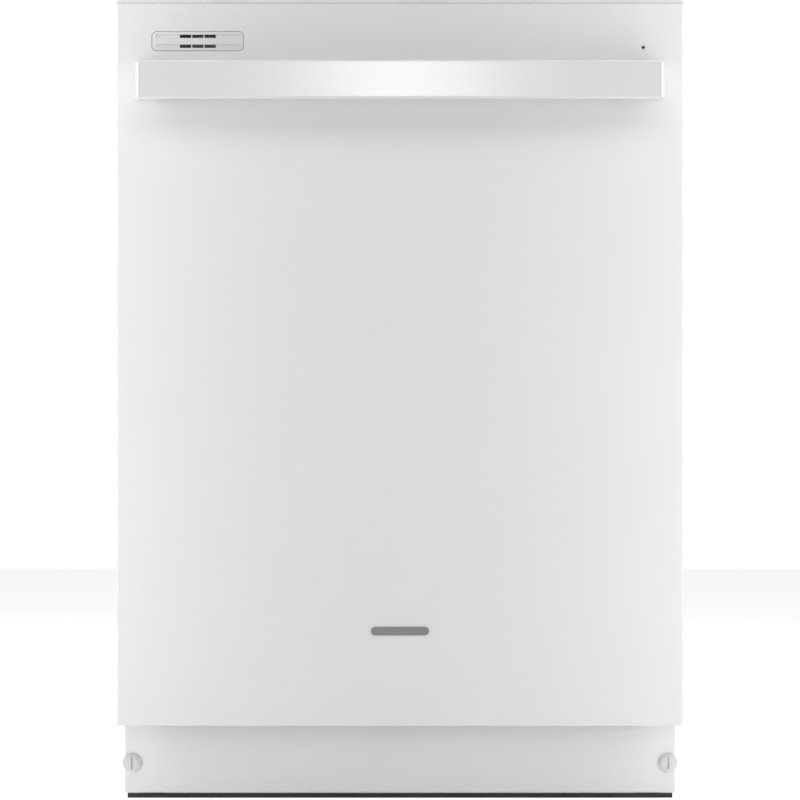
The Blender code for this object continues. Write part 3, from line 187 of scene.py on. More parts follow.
def galvanised(name, colour, roughness=0.40):
    """Zinc-coated steel with its pale crystal pattern."""
    made = Shade(name, colour, roughness, 1.0)
    made.join(
        made.ramp(
            made.cells(130.0),
            [(0.2, tuple(c * 0.90 for c in colour)), (0.8, tuple(c * 1.07 for c in colour))],
        ),
        made.shader.inputs["Base Color"],
    )
    made.vary_roughness(made.noise(60.0, 3.0), roughness - 0.08, roughness + 0.10)
    return made.bump(made.noise(240.0, 3.0), 0.00003, 0.4).material


def rubber(name, colour=(0.025, 0.025, 0.027)):
    """Black moulded rubber with a dull, uneven skin."""
    made = Shade(name, colour, 0.62)
    made.vary_colour(made.noise(40.0, 3.0), colour, 0.15)
    made.vary_roughness(made.noise(25.0, 3.0), 0.52, 0.72)
    return made.bump(made.noise(700.0, 3.0), 0.00006, 0.5).material


def nylon(name, colour):
    """Dipped nylon over wire: soft, slightly uneven gloss."""
    made = Shade(name, colour, 0.36, Coat_Weight=0.15, Coat_Roughness=0.25)
    made.vary_colour(made.noise(35.0, 3.0), colour, 0.06)
    made.vary_roughness(made.noise(60.0, 2.0), 0.30, 0.46)
    return made.bump(made.noise(260.0, 2.0), 0.00010, 0.35).material


def felt(name):
    """Recycled-fibre sound blanket: matted grey fibres with pale, dark and blue flecks, and painted shade
    that darkens the low parts of its tufts.
    """
    base = (0.205, 0.205, 0.210)
    made = Shade(name, base, 0.96, Sheen_Weight=0.25, Sheen_Roughness=0.6)
    fibres = made.noise(330.0, 8.0, (1, 1, 1.6), 0.72)
    tufts = made.noise(26.0, 5.0, (1, 1, 1), 0.6)
    flecks = made.cells(230.0)
    mottled = made.ramp(fibres, [(0.30, (0.085, 0.086, 0.090)), (0.52, base), (0.72, (0.43, 0.43, 0.425))])
    speckled = made.ramp(
        flecks, [
            (0.0, (0.10, 0.13, 0.20)), (0.10, (0.22, 0.22, 0.22)), (0.80, (0.25, 0.25, 0.245)),
            (1.0, (0.62, 0.60, 0.56)),
        ]
    )
    mix = made.add("ShaderNodeMix", data_type="RGBA")
    mix.inputs["Factor"].default_value = 0.40
    made.join(mottled, mix.inputs[6]).join(speckled, mix.inputs[7])
    # painted shade: the colour is multiplied darker where the tufts' relief is low
    shade = made.add("ShaderNodeMix", data_type="RGBA", blend_type="MULTIPLY")
    shade.inputs["Factor"].default_value = 0.55
    made.join(mix.outputs[2], shade.inputs[6])
    made.join(made.ramp(tufts, [(0.25, (0.62, 0.62, 0.62)), (0.75, (1.0, 1.0, 1.0))]), shade.inputs[7])
    made.join(shade.outputs[2], made.shader.inputs["Base Color"])
    total = made.add("ShaderNodeMath", operation="MULTIPLY_ADD")
    total.inputs[1].default_value = 0.6
    made.join(fibres, total.inputs[0]).join(tufts, total.inputs[2])
    return made.bump(total.outputs[0], 0.0022, 0.8).material


def foil_tape(name):
    """Crinkled aluminium tape."""
    made = Shade(name, (0.72, 0.72, 0.73), 0.34, 1.0)
    made.vary_roughness(made.noise(120.0, 4.0), 0.24, 0.44)
    return made.bump(made.noise(75.0, 5.0, (1, 1, 1), 0.6), 0.0006, 0.55).material


def dark_gloss(name, colour=(0.006, 0.006, 0.007)):
    """Near-black glossy plastic, for lamp lenses, and as the painted shadow in the vent's hollow."""
    made = Shade(name, colour, 0.12, Coat_Weight=0.4, Coat_Roughness=0.05)
    made.vary_roughness(made.noise(90.0, 2.0), 0.08, 0.18)
    return made.material


def circuit(name):
    """A green printed board with paler tracks."""
    made = Shade(name, (0.02, 0.12, 0.05), 0.4)
    tracks = made.cells(180.0, "DISTANCE_TO_EDGE", "Distance")
    made.join(
        made.ramp(tracks, [(0.02, (0.12, 0.30, 0.12)), (0.06, (0.02, 0.12, 0.05))]),
        made.shader.inputs["Base Color"],
    )
    return made.bump(tracks, 0.0001, 0.4).material


WHITE = (0.80, 0.80, 0.795)
LOOKS = {    # the slot that names a look, and its material
    "enamel": ("white_enamel", enamel("white_enamel_paint", WHITE)),
    # the kick panel has the door's white paint; its lighter colour here is painted light that makes up for
    # the shade under the door
    "toe": ("white_enamel", enamel("kick_enamel_painted_light", (0.90, 0.90, 0.895))),
    # the handle has the door's white paint; its darker colour here is painted shade, seen most at the bar's
    # ends
    "handle": ("white_enamel", enamel("handle_enamel_painted_shade", (0.75, 0.75, 0.745), 0.30, 0.95, 2.0)),
    "white": ("white_plastic", moulded("white_moulding", (0.78, 0.78, 0.775), 0.36)),
    "lip": ("lip_plastic", moulded("console_moulding", (0.74, 0.74, 0.735), 0.38)),
    "pale": ("pale_plastic", moulded("pale_moulding", (0.52, 0.54, 0.55), 0.42)),
    "grey": ("grey_plastic", moulded("grey_moulding", (0.20, 0.21, 0.22), 0.46)),
    "dark": ("black_plastic", moulded("dark_moulding", (0.030, 0.031, 0.033), 0.50)),
    "blue": ("cap_plastic", moulded("cap_moulding", (0.06, 0.15, 0.36), 0.42)),
    "steel": ("stainless", brushed("tub_steel", (0.70, 0.70, 0.69), 0.34, (30.0, 1.0, 30.0))),
    "liner": ("stainless", brushed("liner_steel", (0.70, 0.70, 0.69), 0.32, (1.0, 30.0, 30.0))),
    "bright": ("stainless", brushed("bright_steel", (0.66, 0.66, 0.66), 0.24, (12.0, 12.0, 12.0))),
    "zinc": ("zinc_plate", galvanised("galvanised_sheet", (0.56, 0.57, 0.58))),
    "alloy": ("motor_alloy", galvanised("motor_casting", (0.50, 0.51, 0.52), 0.48)),
    "nylon": ("rack_nylon", nylon("rack_nylon_coat", (0.235, 0.255, 0.275))),
    "rubber": ("seal_rubber", rubber("black_rubber")),
    "felt": ("blanket_felt", felt("sound_blanket")),
    "tape": ("stainless", foil_tape("foil_tape")),
    "lens": ("lamp_lens", dark_gloss("lamp_lens_gloss")),
    # near-black painted shadow for the duct behind the vent's slots
    "hollow": ("black_plastic", dark_gloss("vent_shadow", (0.004, 0.004, 0.004))),
    "board": ("circuit_board", circuit("printed_board")),
    "badge": ("grey_plastic", moulded("badge_moulding", (0.235, 0.240, 0.245), 0.34)),
}


# ---- mesh helpers ---------------------------------------------------------------------------

def enter(name, data):
    """A new object in the scene for a mesh, a light or a camera."""
    made = bpy.data.objects.new(name, data)
    bpy.context.scene.collection.objects.link(made)
    return made


def smooth_over(thing, angle):
    """Smooth shading; edges sharper than the angle stay edges."""
    thing.data.shade_smooth()
    thing.data.set_sharp_from_angle(angle=math.radians(angle))
    return thing


def link(name, bm, smooth=True, angle=32):
    """The bmesh as a new object, smoothly shaded unless told otherwise."""
    mesh = bpy.data.meshes.new(name)
    bmesh.ops.recalc_face_normals(bm, faces=bm.faces)
    bm.to_mesh(mesh)
    bm.free()
    made = enter(name, mesh)
    return smooth_over(made, angle) if smooth else made


def quads(bm, rows, closed=False):
    """Joins each row of vertices to the next; closed rows are rings."""
    for near, far in zip(rows, rows[1:]):
        count = len(near)
        for k in range(count if closed else count - 1):
            j = (k + 1) % count
            bm.faces.new((near[k], near[j], far[j], far[k]))


def lofted(name, bm, rings, angle):
    """A closed solid through the rings, with flat ends."""
    quads(bm, rings, True)
    bm.faces.new(rings[0])
    bm.faces.new(rings[-1])
    return link(name, bm, angle=angle)


def thicken(thing, thickness, offset, even=False):
    """Gives a sheet its thickness: behind its surface at offset -1, on both sides at 0."""
    wall = thing.modifiers.new("Solidify", "SOLIDIFY")
    wall.thickness = thickness
    wall.offset = offset
    wall.use_even_offset = even
    return thing


def settle(thing):
    """Applies the object's modifiers, so that its own mesh is the final one."""
    graph = bpy.context.evaluated_depsgraph_get()
    mesh = bpy.data.meshes.new_from_object(thing.evaluated_get(graph), depsgraph=graph)
    thing.modifiers.clear()
    thing.data = mesh
    return thing


def soften(thing, width=0.0006, segments=2, angle=40):
    """Rounds the sharp edges a little, so that they catch the light."""
    step = thing.modifiers.new("Soft edges", "BEVEL")
    step.width = width
    step.segments = segments
    step.limit_method = "ANGLE"
    step.angle_limit = math.radians(angle)
    flat = thing.modifiers.new("Flat faces stay flat", "WEIGHTED_NORMAL")
    flat.weight = 60
    flat.keep_sharp = True
    return thing


def cut(thing, *tools):
    """Cuts the tools' shapes out of the thing, and removes the tools."""
    for tool in tools:
        step = thing.modifiers.new("Cut", "BOOLEAN")
        step.operation = "DIFFERENCE"
        step.object = tool
    settle(thing)
    for tool in tools:
        bpy.data.objects.remove(tool, do_unlink=True)
    return thing


def fuse(thing, other):
    """Joins the other's solid to the thing, and removes the other."""
    join = thing.modifiers.new("Join", "BOOLEAN")
    join.operation = "UNION"
    join.object = other
    settle(thing)
    bpy.data.objects.remove(other, do_unlink=True)
    return thing


def weld(name, *things):
    """One object from several, which keep their own shells."""
    bm = bmesh.new()
    for thing in things:
        mesh = settle(thing).data
        mesh.transform(thing.matrix_world)
        bm.from_mesh(mesh)
        bpy.data.objects.remove(thing, do_unlink=True)
    return link(name, bm)


def put(thing, name, body, look, *nodes):
    """Names a piece, paints it, lets it ride on its body and stand for its CAD nodes."""
    thing.name = name
    thing.data.name = name
    thing.data.materials.clear()
    slot, material = LOOKS[look]
    thing.data.materials.append(material)
    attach(thing, body)
    if nodes:
        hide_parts(*nodes)
    return thing


def keep(node, look, width=0.0004):
    """A CAD node that stays: soft edges and a better material."""
    thing, material = NODES[node], LOOKS[look][1]
    for held in thing.material_slots:
        held.material = material
    if not thing.material_slots:
        thing.data.materials.append(material)
    return soften(thing, width)


def block(low, high):
    """A plain box between two corners."""
    bm = bmesh.new()
    low, high = Vector(low), Vector(high)
    matrix = Matrix.Translation((low + high) / 2) @ Matrix.Diagonal((*(high - low), 1.0))
    bmesh.ops.create_cube(bm, size=1.0, matrix=matrix)
    return link("block", bm)


def rounded(low, high, radius, steps=8):
    """The outline of a rounded rectangle."""
    points = []
    centres = (
        (high[0] - radius, high[1] - radius, 0),
        (low[0] + radius, high[1] - radius, 90),
        (low[0] + radius, low[1] + radius, 180),
        (high[0] - radius, low[1] + radius, 270),
    )
    for a, b, start in centres:
        for k in range(steps + 1):
            angle = math.radians(start + 90 * k / steps)
            points.append((a + radius * math.cos(angle), b + radius * math.sin(angle)))
    return points


PLACES = {
    "X": lambda a, b, t: (t, a, b),
    "Y": lambda a, b, t: (a, t, b),
    "Z": lambda a, b, t: (a, b, t),
}


def slab(points, axis, low, high):
    """An outline pushed out along an axis."""
    place = PLACES[axis]
    bm = bmesh.new()
    near = [bm.verts.new(place(a, b, low)) for a, b in points]
    far = [bm.verts.new(place(a, b, high)) for a, b in points]
    bm.faces.new(near)
    bm.faces.new(far)
    for i, here in enumerate(near):
        j = (i + 1) % len(near)
        bm.faces.new((here, near[j], far[j], far[i]))
    return link("slab", bm)


def turned(profile, centre, axis="Z", sides=48):
    """A solid of revolution: profile is (radius, height) from the axis out and back."""
    place = PLACES[axis]
    mid = Vector(centre)
    bm = bmesh.new()
    rings = []
    for radius, height in profile:
        count = 1 if radius < 1e-7 else sides
        ring = []
        for k in range(count):
            angle = 2 * math.pi * k / sides
            ring.append(
                bm.verts.new(
                    mid + Vector(place(radius * math.cos(angle), radius * math.sin(angle), height))
                )
            )
        rings.append(ring)
    for near, far in zip(rings, rings[1:]):
        for k in range(sides):
            j = (k + 1) % sides
            loop = (near[k % len(near)], near[j % len(near)], far[j % len(far)], far[k % len(far)])
            loop = tuple(dict.fromkeys(loop))
            if len(loop) > 2:
                bm.faces.new(loop)
    return link("turned", bm)


def disc(centre, axis, radius, low, high, edge=0.0006, sides=48):
    """A round bar with softly rounded ends, from low to high along the axis."""
    profile = [
        (0, low), (radius - edge, low), (radius - edge * 0.3, low + edge * 0.3), (radius, low + edge),
    ]
    profile += [
        (radius, high - edge), (radius - edge * 0.3, high - edge * 0.3), (radius - edge, high), (0, high),
    ]
    return turned(profile, centre, axis, sides)


def sweep(bm, points, radius, sides=10, closed=False):
    """Adds a round wire through the points to a bmesh; radius may be a function of the share run."""
    points = [Vector(p) for p in points]
    count = len(points)
    rings = []
    side = None
    for i, here in enumerate(points):
        before = points[i - 1] if i or closed else here
        after = points[(i + 1) % count] if i < count - 1 or closed else here
        along = (after - before).normalized()
        if side is None:
            side = along.orthogonal().normalized()
        side = (side - along * side.dot(along)).normalized()
        up = along.cross(side)
        r = radius(i / (count - 1)) if callable(radius) else radius
        ring = []
        for k in range(sides):
            angle = 2 * math.pi * k / sides
            ring.append(bm.verts.new(here + (side * math.cos(angle) + up * math.sin(angle)) * r))
        rings.append(ring)
    pairs = list(zip(rings, rings[1:]))
    if closed:
        pairs.append((rings[-1], rings[0]))
    for near, far in pairs:
        shift = 0
        if closed and far is rings[0]:
            shift = min(range(sides), key=lambda s: (near[0].co - far[s].co).length)
        for k in range(sides):
            j = (k + 1) % sides
            bm.faces.new((near[k], near[j], far[(j + shift) % sides], far[(k + shift) % sides]))
    if not closed:
        bm.faces.new(rings[0])
        bm.faces.new(rings[-1])


def wires(paths, radius, sides=8):
    """One object from many wires: paths are lists of points, or (points, closed)."""
    bm = bmesh.new()
    for path in paths:
        points, closed = path if isinstance(path, tuple) else (path, False)
        sweep(bm, points, radius, sides, closed)
    return link("wires", bm, angle=60)


def round_corner(before, here, after, reach, steps):
    """The points of a curve that cuts the corner at the middle point."""
    start = here + (before - here).normalized() * reach
    end = here + (after - here).normalized() * reach
    shares = [k / steps for k in range(steps + 1)]
    return [start * (1 - t) ** 2 + here * 2 * t * (1 - t) + end * t ** 2 for t in shares]


def bent(points, radius, steps=5):
    """Points along straight runs with rounded corners."""
    points = [Vector(p) for p in points]
    out = [points[0]]
    for before, here, after in zip(points, points[1:], points[2:]):
        reach = min(radius, (before - here).length * 0.49, (after - here).length * 0.49)
        out += round_corner(before, here, after, reach, steps)
    return out + [points[-1]]


def loop_path(points, radius, steps=5):
    """A closed run of rounded corners."""
    points = [Vector(p) for p in points]
    out = []
    for i, here in enumerate(points):
        out += round_corner(points[i - 1], here, points[(i + 1) % len(points)], radius, steps)
    return out, True


def box_ring(low, high, z, radius, steps=5):
    """A closed rectangle with rounded corners at the height z."""
    corner_points = [(low[0], low[1], z), (high[0], low[1], z), (high[0], high[1], z), (low[0], high[1], z)]
    return loop_path(corner_points, radius, steps)


def mirrored(profile):
    """A turned profile and its mirror image, closed into one ring."""
    return profile + [(radius, -height) for radius, height in reversed(profile)] + profile[:1]


def smooth_step(x, low, high):
    """0 below low, 1 above high, and a smooth change between them."""
    t = max(0.0, min(1.0, (x - low) / (high - low)))
    return t * t * (3 - 2 * t)


def inside_pad(x, z, low, high, radius, slope):
    """1 well inside a rounded rectangle, 0 outside it, with a smooth slope at its edge."""
    cx, cz = (low[0] + high[0]) / 2, (low[1] + high[1]) / 2
    dx = abs(x - cx) - (high[0] - low[0]) / 2 + radius
    dz = abs(z - cz) - (high[1] - low[1]) / 2 + radius
    distance = math.hypot(max(dx, 0), max(dz, 0)) + min(max(dx, dz), 0) - radius
    return 1 - smooth_step(distance, -slope, 0)


def sheet_grid(bm, xs, zs, depth):
    """A sheet over a grid in x and z, whose y comes from depth(x, z)."""
    quads(bm, [[bm.verts.new((x, depth(x, z), z)) for x in xs] for z in zs])


def spread(low, high, count):
    """Evenly spaced numbers from low to high."""
    return [low + (high - low) * k / (count - 1) for k in range(count)]


def screw(centre, axis, sign, body, name, radius=0.0042):
    """A pan-head screw with a cross recess; it stands out along the axis on the side of sign."""
    c = Vector(centre)
    h = 0.0022 * sign
    head = turned(
        [
            (0, 0), (radius, 0), (radius, h * 0.35), (radius * 0.8, h * 0.8), (radius * 0.45, h), (0, h),
        ], c, axis, 24
    )
    place = PLACES[axis]
    tools = []
    for a, b in ((radius * 0.62, 0.0005), (0.0005, radius * 0.62)):
        low = c + Vector(place(-a, -b, h * 0.45))
        high = c + Vector(place(a, b, h * 1.5))
        tools.append(block([min(p, q) for p, q in zip(low, high)], [max(p, q) for p, q in zip(low, high)]))
    return put(cut(head, *tools), name, body, "bright")


# ---- the door's front -----------------------------------------------------------------------

def folded_sheet(low, high, thickness, fold, segments, open_top):
    """A sheet-metal tray that is open at the back, and at the top too if asked, with round folds."""
    bm = bmesh.new()
    matrix = Matrix.Translation((low + high) / 2) @ Matrix.Diagonal((*(high - low), 1.0))
    bmesh.ops.create_cube(bm, size=1.0, matrix=matrix)
    bm.normal_update()
    gone = [f for f in bm.faces if f.normal.y > 0.5 or (open_top and f.normal.z > 0.5)]
    bmesh.ops.delete(bm, geom=gone, context="FACES")
    folds = [e for e in bm.edges if len(e.link_faces) == 2]
    bmesh.ops.bevel(bm, geom=folds, offset=fold, segments=segments, profile=0.5, affect="EDGES")
    return thicken(link("shell", bm), thickness, -1.0, True)


def make_outer_panel():
    """The folded front sheet, with the vent's and the lamp's holes and the hinge plates' notches."""
    low, high = PANEL_LOW, PANEL_HIGH
    shell = folded_sheet(low, high, 0.0012, 0.0025, 8, True)
    vent_low, vent_high = corners("vent_grille")
    clear = 0.0007
    vent = slab(
        rounded(
            (vent_low.x - clear, vent_low.z - clear), (vent_high.x + clear, vent_high.z + clear), 0.0057,
            10,
        ),
        "Y", FACE_Y - 0.01, FACE_Y + 0.01,
    )
    lamp = middle("indicator_lens")
    hole = disc((lamp.x, FACE_Y, lamp.z), "Y", 0.0018, -0.01, 0.01)
    notches = []
    for sign in (-1, 1):
        x0, x1 = sorted((sign * HINGE_NOTCH[0], sign * HINGE_NOTCH[1]))
        notches.append(block((x0, FACE_Y + 0.0045, low.z - 0.01), (x1, high.y + 0.01, low.z + 0.0045)))
    cut(shell, vent, hole, *notches)
    soften(shell, 0.00035, 2, 50)
    return put(shell, "door_front_sheet", "door", "enamel", "door_outer_panel")


def make_vent():
    """The vent: rim, two grooves with three slots each, and a duct behind them, painted near-black as the
    shadow inside.
    """
    low, high = corners("vent_grille")
    front = low.y
    plate = slab(rounded((low.x, low.z), (high.x, high.z), 0.005, 10), "Y", front, front + 0.0016)
    mid = (low + high) / 2
    tools = []
    for side in (-1, 1):
        z = mid.z + side * 0.0053
        groove = rounded((low.x + 0.0042, z - 0.0020), (high.x - 0.0036, z + 0.0020), 0.0008, 4)
        tools.append(slab(groove, "Y", front - 0.01, front + 0.0012))
        for k in (-1, 0, 1):
            x = mid.x + k * 0.0132
            slot = rounded((x - 0.0060, z - 0.0017), (x + 0.0060, z + 0.0017), 0.0003, 2)
            tools.append(slab(slot, "Y", front - 0.01, front + 0.01))
    cut(plate, *tools)
    soften(plate, 0.00022, 2, 50)
    put(plate, "vent_face", "door", "white", "vent_grille")
    # the duct behind the slots is near-black: its colour is painted shadow
    duct = block(
        (low.x + 0.003, front + 0.0030, low.z + 0.003), (high.x - 0.003, front + 0.0160, high.z - 0.003),
    )
    put(soften(duct), "vent_duct_painted_shadow", "door", "hollow")


def make_lamp():
    """The small status lamp with a domed lens."""
    spot = middle("indicator_lens")
    front = corners("indicator_lens")[0].y
    lens = turned(
        [
            (0, front - 0.0001), (0.0008, front), (0.0013, front + 0.0006), (0.0013, front + 0.010),
            (0, front + 0.010),
        ],
        (spot.x, 0, spot.z), "Y", 32,
    )
    put(lens, "status_lamp", "door", "lens", "indicator_lens")


def make_handle():
    """The crowned bar, almost flat in front with crisp rounded edges, and its two end pieces."""
    low, high = corners("handle_bar")
    half, mid_z = high.x, (low.z + high.z) / 2
    tall = (high.z - low.z) / 2
    crown, thick = 0.006, 0.014
    section = []
    for a, b in rounded((-thick / 2, -tall), (thick / 2, tall), 0.0022, 8):
        belly = 0.0007 * (1 - (b / tall) ** 2) if a < 0 else 0.0
        section.append((a - belly + 0.0007 * (a < 0), b))
    bm = bmesh.new()
    rings = []
    for x in spread(-half, half, 49):
        share = x / half
        rings.append(
            [
                bm.verts.new((x, low.y + thick / 2 + crown * share * share + a, mid_z + b))
                for a, b in section
            ]
        )
    put(
        soften(lofted("bar", bm, rings, 50), 0.0004, 2, 60), "handle_towel_bar", "door", "handle",
        "handle_bar",
    )
    for side, sign in (("left", -1), ("right", 1)):
        node = "handle_post_" + side
        a, b = corners(node)
        outer, inner = max(abs(a.x), abs(b.x)), min(abs(a.x), abs(b.x))
        back = low.y + thick + crown
        cheek = half + 0.0003
        outline = [
            (sign * inner, b.y), (sign * (inner + 0.003), back + 0.0003), (sign * cheek, back + 0.0003),
            (sign * cheek, back - thick + 0.0026),
        ]
        for k in range(9):
            angle = math.radians(90 * k / 8)
            r = 0.0050
            outline.append(
                (
                    sign * (outer - r + r * math.sin(angle)),
                    back - thick + 0.0026 + r * (1 - math.cos(angle)),
                )
            )
        outline.append((sign * outer, b.y))
        post = slab(outline, "Z", mid_z - 0.0189, mid_z + 0.0189)
        put(soften(post, 0.0012, 3, 40), "handle_end_" + side, "door", "handle", node)


def make_badge():
    """A plain blank badge low on the door."""
    z, half, tall = 0.186, 0.031, 0.0045
    plate = slab(
        rounded((-half, z - tall), (half, z + tall), tall * 0.98, 12), "Y", FACE_Y - 0.0012,
        FACE_Y - 0.0001,
    )
    put(soften(plate, 0.0004, 3, 50), "blank_badge", "door", "badge")


def make_toe():
    """The kick panel with rolled edges, its seal strip and its two quarter-turn fasteners."""
    low, high = corners("toe_panel")
    shell = folded_sheet(low, high, 0.0010, 0.0018, 6, False)
    spots = [middle("toe_fastener_" + side) for side in ("left", "right")]
    cut(shell, *[disc((s.x, 0, s.z), "Y", 0.0052, low.y - 0.01, low.y + 0.006) for s in spots])
    put(soften(shell, 0.0003, 2, 50), "kick_panel", "root", "toe", "toe_panel")
    a, b = corners("toe_seal_strip")
    outline = [
        (a.y, b.z), (a.y, a.z + 0.0016), (a.y - 0.0004, a.z), (a.y + 0.0012, a.z), (b.y, a.z + 0.002),
        (b.y, b.z),
    ]
    strip = slab(outline, "X", a.x, b.x)
    put(soften(strip, 0.0002), "kick_seal", "root", "rubber", "toe_seal_strip")
    for side, spot in zip(("left", "right"), spots):
        node = "toe_fastener_" + side
        a, b = corners(node)
        r = 0.0105
        profile = [
            (0, a.y), (r * 0.55, a.y + 0.0003), (r * 0.82, a.y + 0.0012), (r * 0.97, a.y + 0.0028),
            (r, a.y + 0.0044), (r * 0.96, low.y - 0.0003), (0.0042, low.y - 0.0003), (0.0042, b.y),
            (0, b.y),
        ]
        head = turned(profile, (spot.x, 0, spot.z), "Y", 48)
        slot = block(
            (spot.x - 0.0009, a.y - 0.01, spot.z - 0.0064),
            (spot.x + 0.0009, a.y + 0.0022, spot.z + 0.0064),
        )
        lug = block(
            (spot.x - 0.0070, b.y - 0.0028, spot.z - 0.0028), (spot.x + 0.0070, b.y, spot.z + 0.0028),
        )
        piece = weld(node + "_shape", cut(head, slot), lug)
        put(soften(piece, 0.0003, 2, 45), node + "_turn", node, "white", node)


# ---- the door's top and inside --------------------------------------------------------------

def make_console():
    """The console: lip over the front sheet, a sunk key strip on top, a slot for the latch."""
    low, high = corners("control_console")
    panel_in = 0.0018
    front = FACE_Y + 0.0015
    bottom = low.z
    body = slab(
        rounded((low.x + panel_in, front), (high.x - panel_in, high.y), 0.0025, 4), "Z", bottom, high.z,
    )
    lip = slab(
        rounded((low.x, FACE_Y), (high.x, high.y - 0.004), 0.0025, 6), "Z", PANEL_HIGH.z + 0.0003, high.z,
    )
    fuse(body, lip)
    wall = 0.0025
    tools = [
        block(
            (low.x + 0.0045, front + wall, bottom - 0.01), (high.x - 0.0045, high.y - wall, high.z - 0.003),
        )
    ]
    vent_low, vent_high = corners("vent_grille")
    inset = 0.002    # the vent's duct is this much inside its rim
    duct_low = (vent_low.x + inset, front - 0.01, vent_low.z + inset)
    tools.append(block(duct_low, (vent_high.x - inset, front + 0.01, vent_high.z - inset)))
    lamp = middle("indicator_lens")
    tools.append(disc((lamp.x, front, lamp.z), "Y", 0.0018, -0.01, 0.01))
    latch_low, latch_high = 0.8425, 0.8562    # the latch's slot, in z
    tools.append(block((-0.008, high.y - 0.01, latch_low), (0.008, high.y + 0.01, latch_high)))
    keys = [corners("button_" + k) for k in ("start", "cycle", "dry")]
    x0, x1 = min(k[0].x for k in keys) - 0.030, max(k[1].x for k in keys) + 0.012
    y0, y1 = keys[0][0].y - 0.009, keys[0][1].y + 0.006
    tools.append(slab(rounded((x0, y0), (x1, y1), 0.004), "Z", high.z - 0.0007, high.z + 0.01))
    gap = 0.0005    # round each key
    for a, b in keys:
        well = rounded((a.x - gap, a.y - gap), (b.x + gap, b.y + gap), 0.0022, 5)
        tools.append(slab(well, "Z", high.z - 0.02, high.z + 0.01))
    cut(body, *tools)
    soften(body, 0.0005, 2, 45)
    put(body, "console_shell", "door", "lip", "control_console")
    for name in ("start", "cycle", "dry"):
        node = "button_" + name
        a, b = corners(node)
        key = slab(rounded((a.x, a.y), (b.x, b.y), 0.002, 6), "Z", b.z - 0.0043, b.z)
        mid_x, mid_y = (a.x + b.x) / 2, (a.y + b.y) / 2
        bowl = [(0, b.z - 0.0004), (0.004, b.z - 0.0002), (0.0055, b.z + 0.001), (0, b.z + 0.001)]
        cut(key, turned(bowl, (mid_x, mid_y, 0), "Z", 32))
        stem = block((mid_x - 0.004, mid_y - 0.003, a.z), (mid_x + 0.004, mid_y + 0.003, b.z - 0.0042))
        put(soften(weld("key", key, stem), 0.0004, 2, 45), "key_" + name, node, "white", node)
        lamp_dot = disc((mid_x, a.y - 0.0050, 0), "Z", 0.0010, high.z - 0.0009, high.z - 0.0004, 0.0002, 20)
        put(lamp_dot, "key_lamp_" + name, "door", "lens")
    lamps = []
    for k in range(4):
        y = y0 + k * 0.0045
        outline = rounded((x0 + 0.006, y + 0.005), (x0 + 0.013, y + 0.007), 0.0009, 4)
        lamps.append(slab(outline, "Z", high.z - 0.0009, high.z - 0.0004))
    put(weld("lamps", *lamps), "cycle_lamps", "door", "lens")


def make_liner():
    """The pressed inner door: a rounded rim, a sunk field, and a raised seat for the dispenser."""
    low, high = LINER_LOW, LINER_HIGH
    seat_low, seat_high = corners("detergent_dispenser")
    turn = 0.007    # the radius of the pressing's rim
    margin = 0.016    # of the raised seat round the dispenser

    def depth(x, z):
        """How far out the pressing stands at a point."""
        edge = min(x - low.x, high.x - x, z - low.z, high.z - z)
        rim = turn - math.sqrt(max(0.0, turn ** 2 - max(0.0, turn - edge) ** 2))
        field = inside_pad(
            x, z, (low.x + 0.040, low.z + 0.055), (high.x - 0.040, high.z - 0.045), 0.035, 0.010,
        )
        seat = inside_pad(
            x, z, (seat_low.x - margin, seat_low.z - margin), (seat_high.x + margin, seat_high.z + margin),
            0.025, 0.009,
        )
        inner = inside_pad(
            x, z, (low.x + 0.075, low.z + 0.090), (high.x - 0.075, high.z - 0.080), 0.030, 0.006,
        )
        return high.y - rim - 0.0050 * field * (1 - seat) + 0.0016 * inner * (1 - seat)

    def ticks(a, b, count):
        """Grid lines from a to b that are closer together over the rim."""
        fine = [a, a + 0.0004, a + 0.0012, a + 0.0024, a + 0.004, a + turn]
        return fine + spread(a + turn, b - turn, count)[1:-1] + [a + b - t for t in reversed(fine)]

    bm = bmesh.new()
    sheet_grid(bm, ticks(low.x, high.x, 130), ticks(low.z, high.z, 150), depth)
    edge = [e for e in bm.edges if e.is_boundary]
    grown = bmesh.ops.extrude_edge_only(bm, edges=edge)["geom"]
    for v in grown:
        if isinstance(v, bmesh.types.BMVert):
            v.co.y = low.y
    liner = thicken(link("liner", bm, angle=50), 0.0008, -1.0)
    x0, x1, z0, z1 = seat_low.x + 0.0065, seat_high.x - 0.0065, seat_low.z + 0.0065, seat_high.z - 0.0065
    cut(liner, slab(rounded((x0, z0), (x1, z1), 0.004), "Y", high.y - 0.02, high.y + 0.02))
    put(smooth_over(liner, 45), "inner_door_pressing", "door", "liner", "door_inner_liner")
    number = 0
    for x in (low.x + 0.014, high.x - 0.014):
        for z in spread(low.z + 0.045, high.z - 0.030, 5):
            number += 1
            screw((x, high.y, z), "Y", 1, "door", f"liner_screw_{number}", 0.0038)


